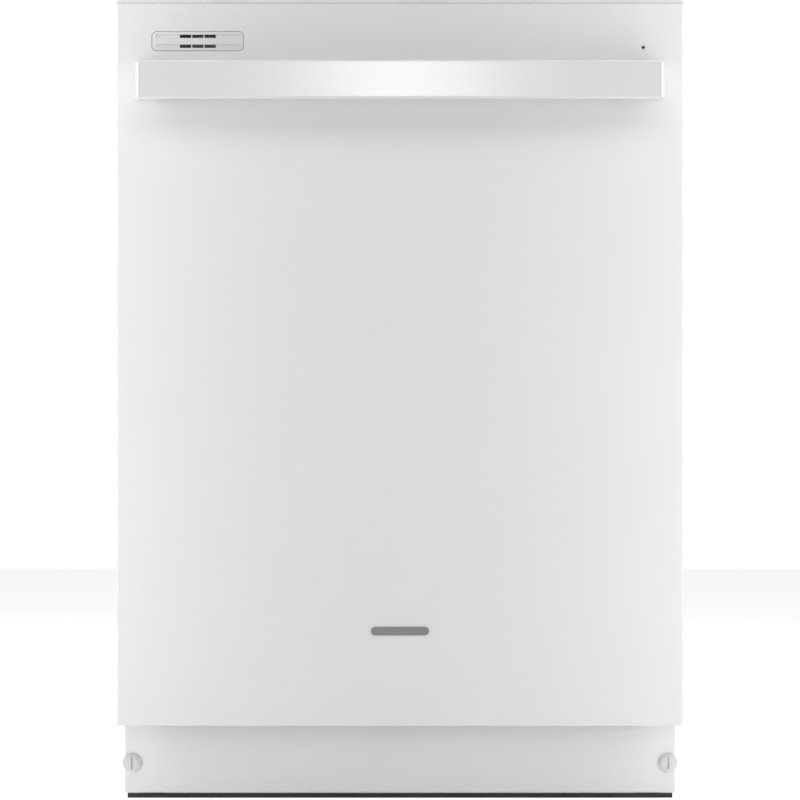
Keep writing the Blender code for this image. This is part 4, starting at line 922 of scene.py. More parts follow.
def make_dispenser():
    """The detergent dispenser: flange, powder cup, rinse-aid filler with its cap, sliding lid."""
    low, high = corners("detergent_dispenser")
    x, z = (low.x + high.x) / 2, (low.z + high.z) / 2
    face = high.y
    flange = slab(rounded((low.x, low.z), (high.x, high.z), 0.012, 10), "Y", LINER_HIGH.y + 0.0003, face)
    body = slab(
        rounded((x - 0.092, z - 0.062), (x + 0.092, z + 0.062), 0.004), "Y", low.y, LINER_HIGH.y + 0.0006,
    )
    fuse(flange, body)
    cup = slab(
        rounded((x - 0.088, z - 0.056), (x - 0.014, z - 0.006), 0.007, 6), "Y", face - 0.0275, face + 0.01,
    )
    cap = middle("rinse_aid_cap")
    filler = disc((cap.x, 0, cap.z), "Y", 0.0160, face - 0.022, face + 0.01)
    hollow = slab(
        rounded((x - 0.086, z + 0.012), (x + 0.010, z + 0.058), 0.006, 6), "Y", face - 0.0012, face + 0.01,
    )
    eye = disc((cap.x - 0.036, 0, cap.z + 0.010), "Y", 0.0042, face - 0.0015, face + 0.01)
    cut(flange, cup, filler, hollow, eye)
    soften(flange, 0.0007, 3, 45)
    put(flange, "dispenser_moulding", "door", "pale", "detergent_dispenser")
    window = disc((cap.x - 0.036, 0, cap.z + 0.010), "Y", 0.0038, face - 0.0014, face - 0.0002)
    put(window, "rinse_aid_window", "door", "lens")
    ribs = []
    for k in range(7):
        rib_x = x - 0.078 + 0.012 * k
        ribs.append(block((rib_x, face - 0.0012, z + 0.018), (rib_x + 0.004, face - 0.0002, z + 0.052)))
    put(soften(weld("ribs", *ribs), 0.0002), "dispenser_ribs", "door", "pale")
    a, b = corners("detergent_lid")
    plate = slab(rounded((a.x, a.z), (b.x, b.z), 0.006, 6), "Y", a.y, a.y + 0.0022)
    rib = slab(
        rounded((a.x + 0.009, a.z + 0.011), (a.x + 0.013, b.z - 0.011), 0.0018, 4), "Y", a.y + 0.001, b.y,
    )
    grips = []
    for k in range(5):
        grip_x = b.x - 0.012 - 0.004 * k
        grips.append(
            block((grip_x, a.y + 0.001, a.z + 0.014), (grip_x + 0.0015, a.y + 0.0030, b.z - 0.014))
        )
    lid = soften(weld("lid", plate, rib, *grips), 0.0005, 2, 45)
    put(lid, "detergent_lid_shape", "detergent_lid", "grey", "detergent_lid")
    a, b = corners("rinse_aid_cap")
    y = a.y + 0.010
    top = turned(
        [
            (0, a.y), (0.0150, a.y), (0.0150, y), (0.0185, y), (0.0185, y + 0.0030), (0.0178, y + 0.0038),
            (0.0160, y + 0.0040), (0, y + 0.0040),
        ],
        (cap.x, 0, cap.z), "Y", 56,
    )
    grip = slab(
        rounded((cap.x - 0.0150, cap.z - 0.0025), (cap.x + 0.0150, cap.z + 0.0025), 0.0024, 6), "Y",
        y + 0.002, b.y,
    )
    cap = soften(weld("cap", top, grip), 0.0006, 2, 45)
    put(cap, "rinse_aid_cap_shape", "rinse_aid_cap", "blue", "rinse_aid_cap")


# ---- tub ------------------------------------------------------------------------------------

def tub_section(half, floor, roof, ledge, corner):
    """Half of the tub's outline seen from the front, from the middle of the floor up to the roof."""
    points = [(x, floor) for x in spread(0.0, 0.2540, 22)]
    points += [(0.2560, floor + 0.0010), (0.2585, ledge - 0.0015), (0.2605, ledge)]
    points += [(x, ledge) for x in spread(0.2630, half - 0.004, 4)]
    for k in range(1, 5):
        angle = math.radians(90 * k / 4)
        points.append((half - 0.004 + 0.004 * math.sin(angle), ledge + 0.004 * (1 - math.cos(angle))))
    points += [(half, z) for z in spread(ledge + 0.012, roof - corner, 70)]
    for k in range(1, 9):
        angle = math.radians(90 * k / 8)
        points.append((half - corner * (1 - math.cos(angle)), roof - corner + corner * math.sin(angle)))
    points += [(x, roof) for x in spread(half - corner - 0.012, 0.0, 20)]
    return points


def wall_press(x, y, z, half):
    """How far a wall is pressed inwards: three long ribs on each side wall."""
    total = 0.0
    for height in (0.300, 0.430, 0.720):
        across = math.exp(-((z - height) / 0.009) ** 2)
        along = smooth_step(y, -0.150, -0.120) * (1 - smooth_step(y, 0.235, 0.265))
        total += 0.0022 * across * along
    return total if abs(x) > half - 0.0005 else 0.0


def make_tub():
    """The steel tub: rounded corners, pressed ribs and wheel tracks, a flange round its mouth."""
    sheet = 0.0015
    half, floor, roof = 0.280 - sheet, TUB_LOW.z + 0.009 + sheet, TUB_HIGH.z - sheet
    ledge, corner, flange_half = 0.1586, 0.026, 0.288
    front, back = TUB_LOW.y, TUB_HIGH.y - sheet
    bend = 0.020
    ys = [front, front + 0.0012, front + 0.003, front + 0.006] + spread(front + 0.014, back - bend, 46)
    ys += [back - bend + bend * math.sin(math.radians(90 * k / 6)) for k in range(1, 7)]
    bm = bmesh.new()
    outline = tub_section(half, floor, roof, ledge, corner)
    centre_z = (floor + roof) / 2
    rings = []
    for y in ys:
        depth = max(0.0, y - (back - bend)) / bend
        inset = bend * (1 - math.sqrt(max(0.0, 1 - depth ** 2)))
        flare = 0.006 * (1 - smooth_step(y, front, front + 0.006)) ** 2
        ring = []
        for sign in (1, -1):
            points = outline if sign == 1 else outline[-2:0:-1]
            for x, z in points:
                px = sign * (x - wall_press(x, y, z, half)) * (1 - inset / half) * (1 + flare / half)
                pz = centre_z + (z - centre_z) * (
                    1 - inset / (roof - centre_z)
                ) * (1 + flare / (roof - centre_z))
                ring.append(bm.verts.new((px, y, min(pz, TUB_HIGH.z - 0.0002))))
        rings.append(ring)
    quads(bm, rings, True)
    bm.faces.new(rings[-1])
    flange = []
    for vertex in rings[0]:
        x, z = vertex.co.x, vertex.co.z
        reach = Vector((x, z - centre_z))
        tall = TUB_HIGH.z - centre_z if reach.y > 0 else centre_z - TUB_LOW.z
        scale = min(flange_half / max(abs(reach.x), 1e-6), tall / max(abs(reach.y), 1e-6))
        flange.append(bm.verts.new((reach.x * scale, front, centre_z + reach.y * scale)))
    quads(bm, [rings[0], flange], True)
    shell = thicken(link("tub_shape", bm, angle=40), 0.0009, 0.0)
    spot = middle("overfill_float")
    sump_hole = disc((0, AXIS_Y, 0), "Z", 0.092, floor - 0.03, floor + 0.03, sides=72)
    float_hole = disc((spot.x, spot.y, 0), "Z", 0.0060, floor - 0.03, floor + 0.03)
    cut(shell, sump_hole, float_hole)
    put(smooth_over(shell, 40), "tub_pressing", "root", "steel", "tub")


def make_gasket():
    """The black door seal: a hollow-looking round bead with a thin skirt."""
    low, high = corners("tub_gasket")
    r = (high.y - low.y) / 2
    x, y, top = high.x - r, (low.y + high.y) / 2, high.z - r
    path = bent([(-x, y, low.z), (-x, y, top), (x, y, top), (x, y, low.z)], 0.018, 10)
    bead = wires([path], r, 20)
    skirt = wires([[p + Vector((0, r * 0.72, 0)) for p in path]], r * 0.42, 10)
    put(weld("seal", bead, skirt), "door_seal", "root", "rubber", "tub_gasket")


# ---- sound blanket --------------------------------------------------------------------------

def pin_spots(kind):
    """Where push pins hold the blanket: (along, up) on a side, the back or the roof."""
    if kind == "side":
        return [(y, z) for z in (0.240, 0.500, 0.760) for y in (-0.130, 0.070, 0.270)]
    if kind == "back":
        return [(x, z) for z in (0.250, 0.500, 0.750) for x in (-0.210, 0.0, 0.210)]
    return [(x, y) for x in (-0.200, 0.0, 0.200) for y in (-0.120, 0.080, 0.270)]


def drawn_in(a, b, pins, edges):
    """1 where the blanket is full, less where its pins and hems draw it in."""
    height = 1.0
    for pa, pb in pins:
        height -= 0.85 * math.exp(-((a - pa) ** 2 + (b - pb) ** 2) / 0.00065)
    edge = min(min(abs(a - e) for e in edges[0]), min(abs(b - e) for e in edges[1]))
    return height * (0.55 + 0.45 * smooth_step(edge, 0.0, 0.022))


def lumps(a, b, seed):
    """The uneven thickness of matted fibre."""
    broad = noise.noise(Vector((a * 9.0, b * 9.0, seed))) * 0.20
    fine = noise.noise(Vector((a * 28.0, b * 22.0, seed + 4.0))) * 0.11
    return broad + fine


def billow(rows, outward, places):
    """Blows the blanket's skin out by cloth simulation, held down at its pins and hems.

    Returns how far each point rose, as a share of the full rise.
    """
    scene = bpy.context.scene
    last_row, last = len(rows) - 1, len(rows[0]) - 1
    bm = bmesh.new()
    quads(bm, [[bm.verts.new(p) for p in row] for row in rows])
    skin = link("blanket_skin", bm)
    if skin.data.polygons[0].normal.dot(Vector(outward[0][0])) < 0:
        skin.data.flip_normals()
    held = []
    for i, row in enumerate(places):
        for j, (a, b, pins, edges, _) in enumerate(row):
            if i in (0, last_row) or j in (0, last) or drawn_in(a, b, pins, edges) < 0.30:
                held.append(i * (last + 1) + j)
    skin.vertex_groups.new(name="held").add(held, 1.0, "REPLACE")
    cloth = skin.modifiers.new("Cloth", "CLOTH")
    rules = cloth.settings
    rules.quality = 4
    rules.mass = 0.25
    rules.tension_stiffness = rules.compression_stiffness = 12
    rules.shear_stiffness = 6
    rules.bending_stiffness = 0.8
    rules.vertex_group_mass = "held"
    rules.shrink_min = -0.03
    rules.use_pressure = True
    rules.uniform_pressure_force = 3.0
    rules.effector_weights.gravity = 0.0
    cloth.point_cache.frame_end = SIM_FRAMES
    for step in range(1, SIM_FRAMES + 1):
        scene.frame_set(step)
    blown = skin.evaluated_get(bpy.context.evaluated_depsgraph_get()).data.vertices
    rises = []
    for i, (row, normals) in enumerate(zip(rows, outward)):
        line = [
            (blown[i * (last + 1) + j].co - Vector(p)).dot(Vector(n))
            for j, (p, n) in enumerate(zip(row, normals))
        ]
        rises.append(line)
    bpy.data.objects.remove(skin, do_unlink=True)
    scene.frame_set(1)
    ordered = sorted(rise for line in rises for rise in line)
    full = max(ordered[int(len(ordered) * 0.97)], 0.0001)
    return [[max(0.0, min(1.0, rise / full)) for rise in line] for line in rises]


def stand_out(rows, outward, places):
    """The share of its thickness that the blanket stands out at each point of a grid.

    places gives each point's (along, up, pins, edges, seed) on its own face of the blanket.
    """
    shares = billow(rows, outward, places)
    return [
        [
            min(1.0, max(0.12, 0.10 + share * (0.86 + lumps(a, b, seed))))
            for share, (a, b, _, _, seed) in zip(line, row)
        ]
        for line, row in zip(shares, places)
    ]


def wrap_profile(half, top, bottom, radius, count):
    """An upside-down U: up the left side, round the corner, across the roof and down the right."""
    points = [(-half, z, (-1, 0)) for z in spread(bottom, top - radius, count)]
    for k in range(1, 8):
        angle = math.radians(90 * k / 8)
        c, s = math.cos(angle), math.sin(angle)
        points.append((-half + radius * (1 - c), top - radius + radius * s, (-c, s)))
    points += [(x, top, (0, 1)) for x in spread(-half + radius, half - radius, int(count * 0.8))]
    for k in range(1, 8):
        angle = math.radians(90 * k / 8)
        c, s = math.cos(angle), math.sin(angle)
        points.append((half - radius * (1 - s), top - radius + radius * c, (s, c)))
    points += [(half, z, (1, 0)) for z in spread(top - radius, bottom, count)]
    return points


def blanket_panel(name, rows, outward, thickness, heights):
    """A padded panel: an inner skin, an outer skin stood off by the heights, and rounded hems."""
    bm = bmesh.new()
    inner = [[bm.verts.new(p) for p in row] for row in rows]
    outer = [
        [bm.verts.new(Vector(p) + Vector(n) * thickness * h) for p, n, h in zip(row, normals, high)]
        for row, normals, high in zip(rows, outward, heights)
    ]
    last_row, last = len(rows) - 1, len(rows[0]) - 1
    for i in range(last_row):
        for j in range(last):
            bm.faces.new((outer[i][j], outer[i][j + 1], outer[i + 1][j + 1], outer[i + 1][j]))
            bm.faces.new((inner[i][j], inner[i + 1][j], inner[i + 1][j + 1], inner[i][j + 1]))
    for i in range(last_row):
        for j in (0, last):
            bm.faces.new((inner[i][j], inner[i + 1][j], outer[i + 1][j], outer[i][j]))
    for j in range(last):
        for i in (0, last_row):
            bm.faces.new((inner[i][j], inner[i][j + 1], outer[i][j + 1], outer[i][j]))
    made = link(name, bm, angle=70)
    smooth = made.modifiers.new("Round", "SUBSURF")
    smooth.levels = 1
    smooth.render_levels = 1
    return settle(made)


def make_blanket():
    """The sound blanket: one piece over sides and roof, one on the back, pins and foil tape."""
    top = BLANKET_HIGH.z - 0.0105
    half = BLANKET_HIGH.x - 0.0098
    bottom = BLANKET_LOW.z + 0.004
    front, back = BLANKET_LOW.y, BLANKET_HIGH.y - 0.0112
    profile = wrap_profile(half, top, bottom, 0.024, 60)
    ys = spread(front, back, 52)
    sides, roof = pin_spots("side"), pin_spots("roof")
    rows, outward, places = [], [], []
    for y in ys:
        row, normals, spots = [], [], []
        for x, z, n in profile:
            sag = 0.004 * noise.noise(Vector((y * 11.0, x, 2.0))) * (
                1 - smooth_step(z, bottom, bottom + 0.05)
            )
            row.append((x, y, z + sag))
            normals.append((n[0], 0, n[1]))
            if abs(n[1]) > 0.9:
                spots.append((x, y, roof, ((half, -half), (front, back)), 3.0))
            else:
                spots.append((y, z, sides, ((front, back), (bottom,)), 1.0 if x > 0 else 2.0))
        rows.append(row)
        outward.append(normals)
        places.append(spots)
    wrap = blanket_panel("blanket_wrap", rows, outward, 0.0088, stand_out(rows, outward, places))
    put(wrap, "blanket_wrap", "root", "felt", "tub_blanket")
    pins = pin_spots("back")
    xs, zs = spread(-half - 0.002, half + 0.002, 60), spread(bottom + 0.002, top + 0.002, 70)
    rows = [
        [(x, back + 0.0010 + 0.0006 * noise.noise(Vector((x * 20, z * 20, 0))), z) for x in xs]
        for z in zs
    ]
    outward = [[(0, 1, 0)] * len(xs) for _ in zs]
    edges = ((xs[0], xs[-1]), (zs[0], zs[-1]))
    places = [[(x, z, pins, edges, 5.0) for x in xs] for z in zs]
    panel = blanket_panel("blanket_back", rows, outward, 0.0088, stand_out(rows, outward, places))
    put(panel, "blanket_back", "root", "felt")
    make_pins(half, top, back)
    make_tape(half, back)


def make_door_felt():
    """The felt mat inside the door: flat against the front sheet, puffed on its inner face."""
    low, high = corners("door_insulation")
    thickness = high.y - low.y
    xs, zs = spread(low.x, high.x, 50), spread(low.z, high.z, 54)
    pins = [
        (x, z)
        for x in spread(low.x + 0.08, high.x - 0.08, 3)
        for z in spread(low.z + 0.07, high.z - 0.07, 4)
    ]
    rows = [[(x, low.y, z) for x in xs] for z in zs]
    outward = [[(0, 1, 0)] * len(xs) for _ in zs]
    edges = ((xs[0], xs[-1]), (zs[0], zs[-1]))
    places = [[(x, z, pins, edges, 7.0) for x in xs] for z in zs]
    pad = blanket_panel("door_felt", rows, outward, thickness, stand_out(rows, outward, places))
    put(pad, "door_felt", "door", "felt", "door_insulation")


def make_pins(half, top, back):
    """Flat-headed push pins that hold the blanket."""
    number = 0
    r = 0.0095
    head = [(0, 0.0), (r, 0.0), (r, 0.0006), (r * 0.7, 0.0014), (r * 0.3, 0.0018), (0, 0.0018)]
    for sign in (-1, 1):
        for y, z in pin_spots("side"):
            number += 1
            spot = [(a, sign * b) for a, b in head]
            put(
                turned(spot, (sign * (half + 0.0022), y, z), "X", 28), f"blanket_pin_{number}", "root",
                "dark",
            )
    for x, z in pin_spots("back"):
        number += 1
        put(turned(head, (x, back + 0.0032, z), "Y", 28), f"blanket_pin_{number}", "root", "dark")
    for x, y in pin_spots("roof"):
        number += 1
        put(turned(head, (x, y, top + 0.0022), "Z", 28), f"blanket_pin_{number}", "root", "dark")


def make_tape(half, back):
    """Strips of foil tape that close the blanket's back corners."""
    strips = []
    for sign in (-1, 1):
        for z in (0.330, 0.620, 0.790):
            bm = bmesh.new()
            rows = []
            path = [(sign * (half + 0.0094), back - 0.052 + 0.048 * k / 8) for k in range(9)]
            for k in range(1, 7):
                angle = math.radians(90 * k / 6)
                x = sign * (half + 0.0094 - 0.008 * (1 - math.cos(angle)))
                path.append((x, back - 0.004 + 0.0145 * math.sin(angle)))
            path += [(sign * (half + 0.0014 - 0.050 * k / 8), back + 0.0109) for k in range(1, 9)]
            for x, y in path:
                rows.append([bm.verts.new((x, y, z + t)) for t in spread(-0.022, 0.022, 7)])
            quads(bm, rows)
            strips.append(thicken(link("strip", bm, angle=70), 0.0004, 0.0))
    put(weld("tape", *strips), "corner_tape", "root", "tape")


# ---- racks ----------------------------------------------------------------------------------

def rack_shell(low, high, lean, runs, rungs, rail_levels):
    """The wires of a basket: U-shaped ribs both ways, a heavy rim and rails. low, high are corners."""
    ribs = []
    z0, z1 = low.z, high.z
    for y in spread(low.y + 0.024, high.y - 0.024, runs):
        ribs.append(
            bent([(low.x, y, z1), (low.x + lean, y, z0), (high.x - lean, y, z0), (high.x, y, z1)], 0.016)
        )
    for x in spread(low.x + 0.026, high.x - 0.026, rungs):
        z = z0 + 0.0030
        ribs.append(
            bent([(x, low.y, z1), (x, low.y + lean, z), (x, high.y - lean, z), (x, high.y, z1)], 0.016)
        )
    rails = []
    for share in rail_levels:
        z = z0 + (z1 - z0) * share
        k = lean * (1 - share)
        rails.append(box_ring((low.x + k, low.y + k), (high.x - k, high.y - k), z, 0.022))
    return ribs, rails


def tines(xs, ys, z, tall, lean=0.0):
    """Rows of upright tines, each one wire that may lean towards its tip."""
    out = []
    for x in xs:
        for y in ys:
            out.append([(x, y, z), (x + lean * 0.4, y, z + tall * 0.5), (x + lean, y, z + tall)])
    return out


def make_lower_rack():
    """The lower rack: wires, tine rows, wheel struts, axles and its four wheels."""
    low, high = Vector((-0.2575, -0.1900, 0.2085)), Vector((0.2575, 0.2850, 0.3850))
    ribs, rails = rack_shell(low, high, 0.006, 17, 15, (0.30, 0.64))
    rim, _ = box_ring(low, high, high.z, 0.024)
    dip = 0.030    # the rim is lower in the middle of the front
    front_dip = []
    for p in rim:
        share = smooth_step(0.16 - abs(p.x), 0.0, 0.06) * (p.y < low.y + 0.01)
        front_dip.append(Vector((p.x, p.y, p.z - dip * share)))
    rows = spread(-0.070, 0.255, 14)
    left, right = (-0.205, -0.125, -0.045), (0.055, 0.135, 0.210)
    fence = tines(left, rows, 0.2100, 0.082, 0.004)
    fence += tines(right, [y for y in rows if y > -0.06], 0.2100, 0.082, -0.004)
    bars = [[(x, -0.082, 0.2155), (x, 0.262, 0.2155)] for x in left + right]
    axle_ys = [middle(f"lower_rack_wheel_{end}_right").y for end in ("front", "rear")]
    axle_z = 0.1765
    struts = []
    for sign in (-1, 1):
        for y in axle_ys:
            top, foot = (sign * high.x, 0.262), (sign * 0.2590, axle_z)
            strut = [(*top, -0.014), (*foot, -0.010), (*foot, 0.010), (*top, 0.014)]
            struts.append(bent([(x, y + along, z) for x, z, along in strut], 0.010))
    fine = wires(ribs + fence, 0.0016)
    firm = wires(rails + bars + struts, 0.0022)
    heavy = wires([(front_dip, True)], 0.0030, 10)
    put(weld("wires", fine, firm, heavy), "lower_rack_wires", "lower_rack", "nylon", "lower_rack")
    axles = []
    for sign in (-1, 1):
        for y in axle_ys:
            a, b = sorted((sign * 0.2585, sign * 0.2765))
            axles.append(disc((0, y, axle_z), "X", 0.0030, a, b, 0.0004, 24))
            plate = slab(
                rounded((y - 0.013, 0.1665), (y + 0.013, 0.2010), 0.006), "X",
                *sorted((sign * 0.2600, sign * 0.2622)),
            )
            axles.append(soften(plate, 0.0004))
    put(weld("axles", *axles), "rack_axles", "lower_rack", "pale")
    for end in ("front", "rear"):
        for side in ("left", "right"):
            node = f"lower_rack_wheel_{end}_{side}"
            a, b = corners(node)
            mid = (a + b) / 2
            r, half = 0.0175, (b.x - a.x) / 2
            profile = [
                (0.0036, -half), (0.0070, -half), (0.0070, -half + 0.0015), (0.0130, -half + 0.0022),
                (0.0140, -half + 0.0004), (r - 0.0008, -half + 0.0002), (r, -half + 0.0014),
            ]
            wheel = turned(mirrored(profile), mid, "X", 56)
            spokes = []
            for t in spread(0, 2 * math.pi, 7)[:-1]:
                spot = mid + Vector((0, 0.0101 * math.cos(t), 0.0101 * math.sin(t)))
                spokes.append(disc(spot, "X", 0.0014, -half + 0.0012, half - 0.0012, 0.0003, 14))
            body = node.replace("rack_wheel", "wheel")
            put(weld("wheel", wheel, *spokes), node + "_shape", body, "pale", node)


def make_cutlery_basket():
    """The cutlery basket: pierced walls, solid rims and a bail handle."""
    low, high = corners("silverware_basket")
    rim_z = 0.335
    bm = bmesh.new()

    def net(corner, edge_a, edge_b, count_a, count_b):
        """One wall of squares, from a corner along two edges."""
        corner, edge_a, edge_b = Vector(corner), Vector(edge_a), Vector(edge_b)
        rows = []
        for i in range(count_a + 1):
            start = corner + edge_a * i / count_a
            rows.append([bm.verts.new(start + edge_b * j / count_b) for j in range(count_b + 1)])
        for i in range(count_a):
            for j in range(count_b):
                bm.faces.new((rows[i][j], rows[i + 1][j], rows[i + 1][j + 1], rows[i][j + 1]))

    inset = 0.0010
    a = Vector((low.x + inset, low.y + inset, low.z + inset))
    size = Vector((high.x - inset, high.y - inset, rim_z)) - a
    nx, ny, nz = 22, 6, 11
    net(a, (size.x, 0, 0), (0, size.y, 0), nx, ny)
    for y in (0, size.y):
        net(a + Vector((0, y, 0)), (size.x, 0, 0), (0, 0, size.z), nx, nz)
    for x in (0, size.x / 3, size.x * 2 / 3, size.x):
        net(a + Vector((x, 0, 0)), (0, size.y, 0), (0, 0, size.z), ny, nz)
    walls = link("walls", bm, angle=60)
    lattice = walls.modifiers.new("Wireframe", "WIREFRAME")
    lattice.thickness = 0.0024
    lattice.use_even_offset = False
    lattice.use_boundary = True
    ring, _ = box_ring(a, a + size, rim_z - 0.001, 0.004, 4)
    rim = wires([(ring, True)], 0.0022, 10)
    mid_y = (low.y + high.y) / 2
    x0, x1 = a.x + size.x / 3, a.x + size.x * 2 / 3
    foot, grip = 0.300, 0.3755    # the bail handle's lower ends and its top, in z
    path = [(x0, mid_y, foot), (x0, mid_y, grip), (x1, mid_y, grip), (x1, mid_y, foot)]
    bail = wires([bent(path, 0.012)], 0.0042, 12)
    put(weld("basket", walls, rim, bail), "cutlery_basket", "lower_rack", "grey", "silverware_basket")


def make_upper_rack():
    """The upper rack: wires, tine rows, cup shelves and the runners for its rails."""
    low, high = Vector((-0.2435, -0.1900, 0.5185)), Vector((0.2435, 0.2750, 0.6450))
    ribs, rails = rack_shell(low, high, 0.010, 15, 17, (0.42,))
    rim = box_ring(low, high, high.z, 0.024)
    rows = spread(-0.150, 0.240, 15)
    columns = (-0.150, -0.055, 0.055, 0.150)
    fence = tines(columns, rows, 0.5200, 0.048, 0.006)
    bars = [[(x, -0.160, 0.5252), (x, 0.250, 0.5252)] for x in columns]
    cups = []
    for sign in (-1, 1):
        for y0, y1 in ((-0.150, 0.030), (0.065, 0.245)):
            x0, x1 = sign * 0.232, sign * 0.135
            z = 0.618
            cups.append(
                loop_path([(x0, y0, z), (x1, y0, z + 0.004), (x1, y1, z + 0.004), (x0, y1, z)], 0.014)
            )
            for y in spread(y0 + 0.030, y1 - 0.030, 5):
                cups.append([(x0, y, z), (x1, y, z + 0.004)])
    fine = wires(ribs + fence, 0.0016)
    firm = wires(rails + bars + cups, 0.0020)
    heavy = wires([rim], 0.0030, 10)
    put(weld("wires", fine, firm, heavy), "upper_rack_wires", "upper_rack", "nylon", "upper_rack")
    rail_low, rail_high = corners("rack_rail_right")
    mid = (rail_low.z + rail_high.z) / 2
    runners = []
    for sign in (-1, 1):
        x0, x1 = sorted((sign * 0.2622, sign * 0.2728))
        runners.append(slab(rounded((x0, mid - 0.0105), (x1, mid + 0.0105), 0.003), "Y", -0.170, 0.270))
        for y in (-0.150, 0.250):
            x0, x1 = sorted((sign * 0.2425, sign * 0.2640))
            runners.append(block((x0, y - 0.012, mid - 0.005), (x1, y + 0.012, mid + 0.005)))
            x0, x1 = sorted((sign * 0.2410, sign * 0.2470))
            runners.append(slab(rounded((y - 0.016, 0.5215), (y + 0.016, mid + 0.008), 0.004), "X", x0, x1))
    for piece in runners:
        soften(piece, 0.0006)
    put(weld("runners", *runners), "rack_runners", "upper_rack", "pale")


# ---- wash system ----------------------------------------------------------------------------

def make_spray_arm(node, body):
    """A lofted arm: wide round hub, tapering blades, raised jets on top."""
    low, high = corners(node)
    reach = high.x
    y0, z0 = AXIS_Y, low.z
    bm = bmesh.new()
    rings = []
    for x in spread(-reach, reach, 61):
        share = abs(x) / reach
        width = 0.0245 - 0.0115 * smooth_step(share, 0.08, 0.75)
        width *= math.sqrt(max(0.02, 1 - max(0.0, (share - 0.93) / 0.07) ** 2))
        thick = 0.0046 - 0.0014 * share
        bow = 0.0045 * math.sin(math.pi * share) * (1 if x > 0 else -1)
        ring = []
        for k in range(20):
            angle = 2 * math.pi * k / 20
            c, s = math.cos(angle), math.sin(angle)
            out, up = math.copysign(abs(c) ** 0.75, c), math.copysign(abs(s) ** 0.8, s)
            ring.append(bm.verts.new((x, y0 + bow + width * out, z0 + 0.0065 + thick * up)))
        rings.append(ring)
    blade = lofted("blade", bm, rings, 50)
    hub = turned(
        [
            (0.0046, z0), (0.021, z0), (0.022, z0 + 0.001), (0.022, z0 + 0.0105), (0.018, z0 + 0.0145),
            (0.010, z0 + 0.0150), (0.0046, z0 + 0.0150), (0.0046, z0),
        ],
        (0, y0, 0), "Z", 48,
    )
    nozzle = [
        (0, 0.0095), (0.0062, 0.0095), (0.0050, 0.0122), (0.0028, 0.0126), (0.0024, 0.0112), (0, 0.0112),
    ]
    jets = []
    for k in range(5):
        for sign in (-1, 1):
            x = sign * (0.048 + 0.0335 * k)
            y = y0 + 0.0045 * math.sin(math.pi * abs(x) / reach) * sign
            jets.append(turned(nozzle, (x, y, z0), "Z", 20))
    put(weld("arm", blade, hub, *jets), node + "_shape", body, "pale", node)


def make_sump():
    """The moulded sump below the tub's hole, with ribs, two pipe stubs and the lower arm's post."""
    low, high = corners("sump")
    r = 0.088
    rim_z, shoulder_z = 0.1447, 0.1854    # under the tub's floor, and under the lower arm's hub
    profile = [
        (0, low.z), (r - 0.012, low.z), (r, low.z + 0.012), (r, rim_z), (r + 0.014, rim_z),
        (r + 0.014, rim_z + 0.003), (r - 0.003, rim_z + 0.003), (r - 0.003, low.z + 0.014),
        (r - 0.014, low.z + 0.003), (0.014, low.z + 0.003), (0.011, high.z - 0.024), (0.011, shoulder_z),
        (0.0040, shoulder_z), (0.0040, high.z - 0.0005), (0.0034, high.z), (0, high.z),
    ]
    cup = turned(profile, (0, AXIS_Y, 0), "Z", 72)
    ribs = [block((-0.0012, -0.004, 0), (0.0012, 0.004, 0.056)) for _ in range(10)]
    reach = 0.0905    # of the ribs' centres from the sump's axis
    for k, rib in enumerate(ribs):
        angle = 2 * math.pi * k / 10 + 0.3
        place = Matrix.Translation((reach * math.cos(angle), AXIS_Y + reach * math.sin(angle), 0.088))
        rib.data.transform(place @ Matrix.Rotation(angle + math.pi / 2, 4, "Z"))
    inlet = disc((0, AXIS_Y, 0.108), "X", 0.020, 0.080, 0.1135, 0.001)
    drain = disc((0, AXIS_Y, 0.100), "X", 0.014, -0.1035, -0.080, 0.001)
    put(weld("sump", cup, inlet, drain, *ribs), "sump_moulding", "root", "grey", "sump")


def make_pumps():
    """The finned wash motor on the sump's right, and the small drain pump on its left."""
    y, z = AXIS_Y, 0.098
    volute = turned(
        [(0, 0.1140), (0.036, 0.1140), (0.042, 0.1180), (0.042, 0.1380), (0.038, 0.1420), (0, 0.1420)],
        (0, y, z), "X", 64,
    )
    fins = []
    for x in spread(0.1480, 0.2070, 13):
        fins.append(disc((0, y, z), "X", 0.0360, x - 0.0012, x + 0.0012, 0.0004, 56))
    core = disc((0, y, z), "X", 0.0335, 0.1420, 0.2120, 0.003, 56)
    bell = turned(
        [
            (0, 0.2090), (0.034, 0.2090), (0.033, 0.2130), (0.020, 0.2160), (0.014, 0.2170),
            (0.014, 0.2215), (0.0125, 0.2230), (0, 0.2230),
        ],
        (0, y, z), "X", 56,
    )
    outlet = turned(
        [
            (0, y), (0.012, y), (0.012, y + 0.050), (0.0132, y + 0.052), (0.0132, y + 0.056),
            (0.012, y + 0.058), (0.0115, y + 0.060), (0, y + 0.060),
        ],
        (0.128, 0, z), "Y", 40,
    )
    put(weld("motor", volute, core, bell, outlet, *fins), "wash_motor_shape", "root", "alloy", "wash_motor")
    z = 0.094
    body = turned(
        [
            (0, -0.1040), (0.022, -0.1040), (0.026, -0.1060), (0.026, -0.1240), (0.0235, -0.1260),
            (0.0235, -0.1500), (0.0250, -0.1520), (0.0250, -0.1660), (0.023, -0.1680), (0, -0.1680),
        ],
        (0, y, z), "X", 56,
    )
    spigot = turned(
        [
            (0, y + 0.020), (0.0095, y + 0.020), (0.0095, y + 0.057), (0.0110, y + 0.0595),
            (0.0110, y + 0.0620), (0.0095, y + 0.065), (0.0095, y + 0.068), (0.0070, y + 0.068),
            (0.0070, y + 0.040), (0, y + 0.040),
        ],
        (-0.118, 0, z + 0.004), "Y", 40,
    )
    put(weld("pump", body, spigot), "drain_pump_shape", "root", "dark", "drain_pump")


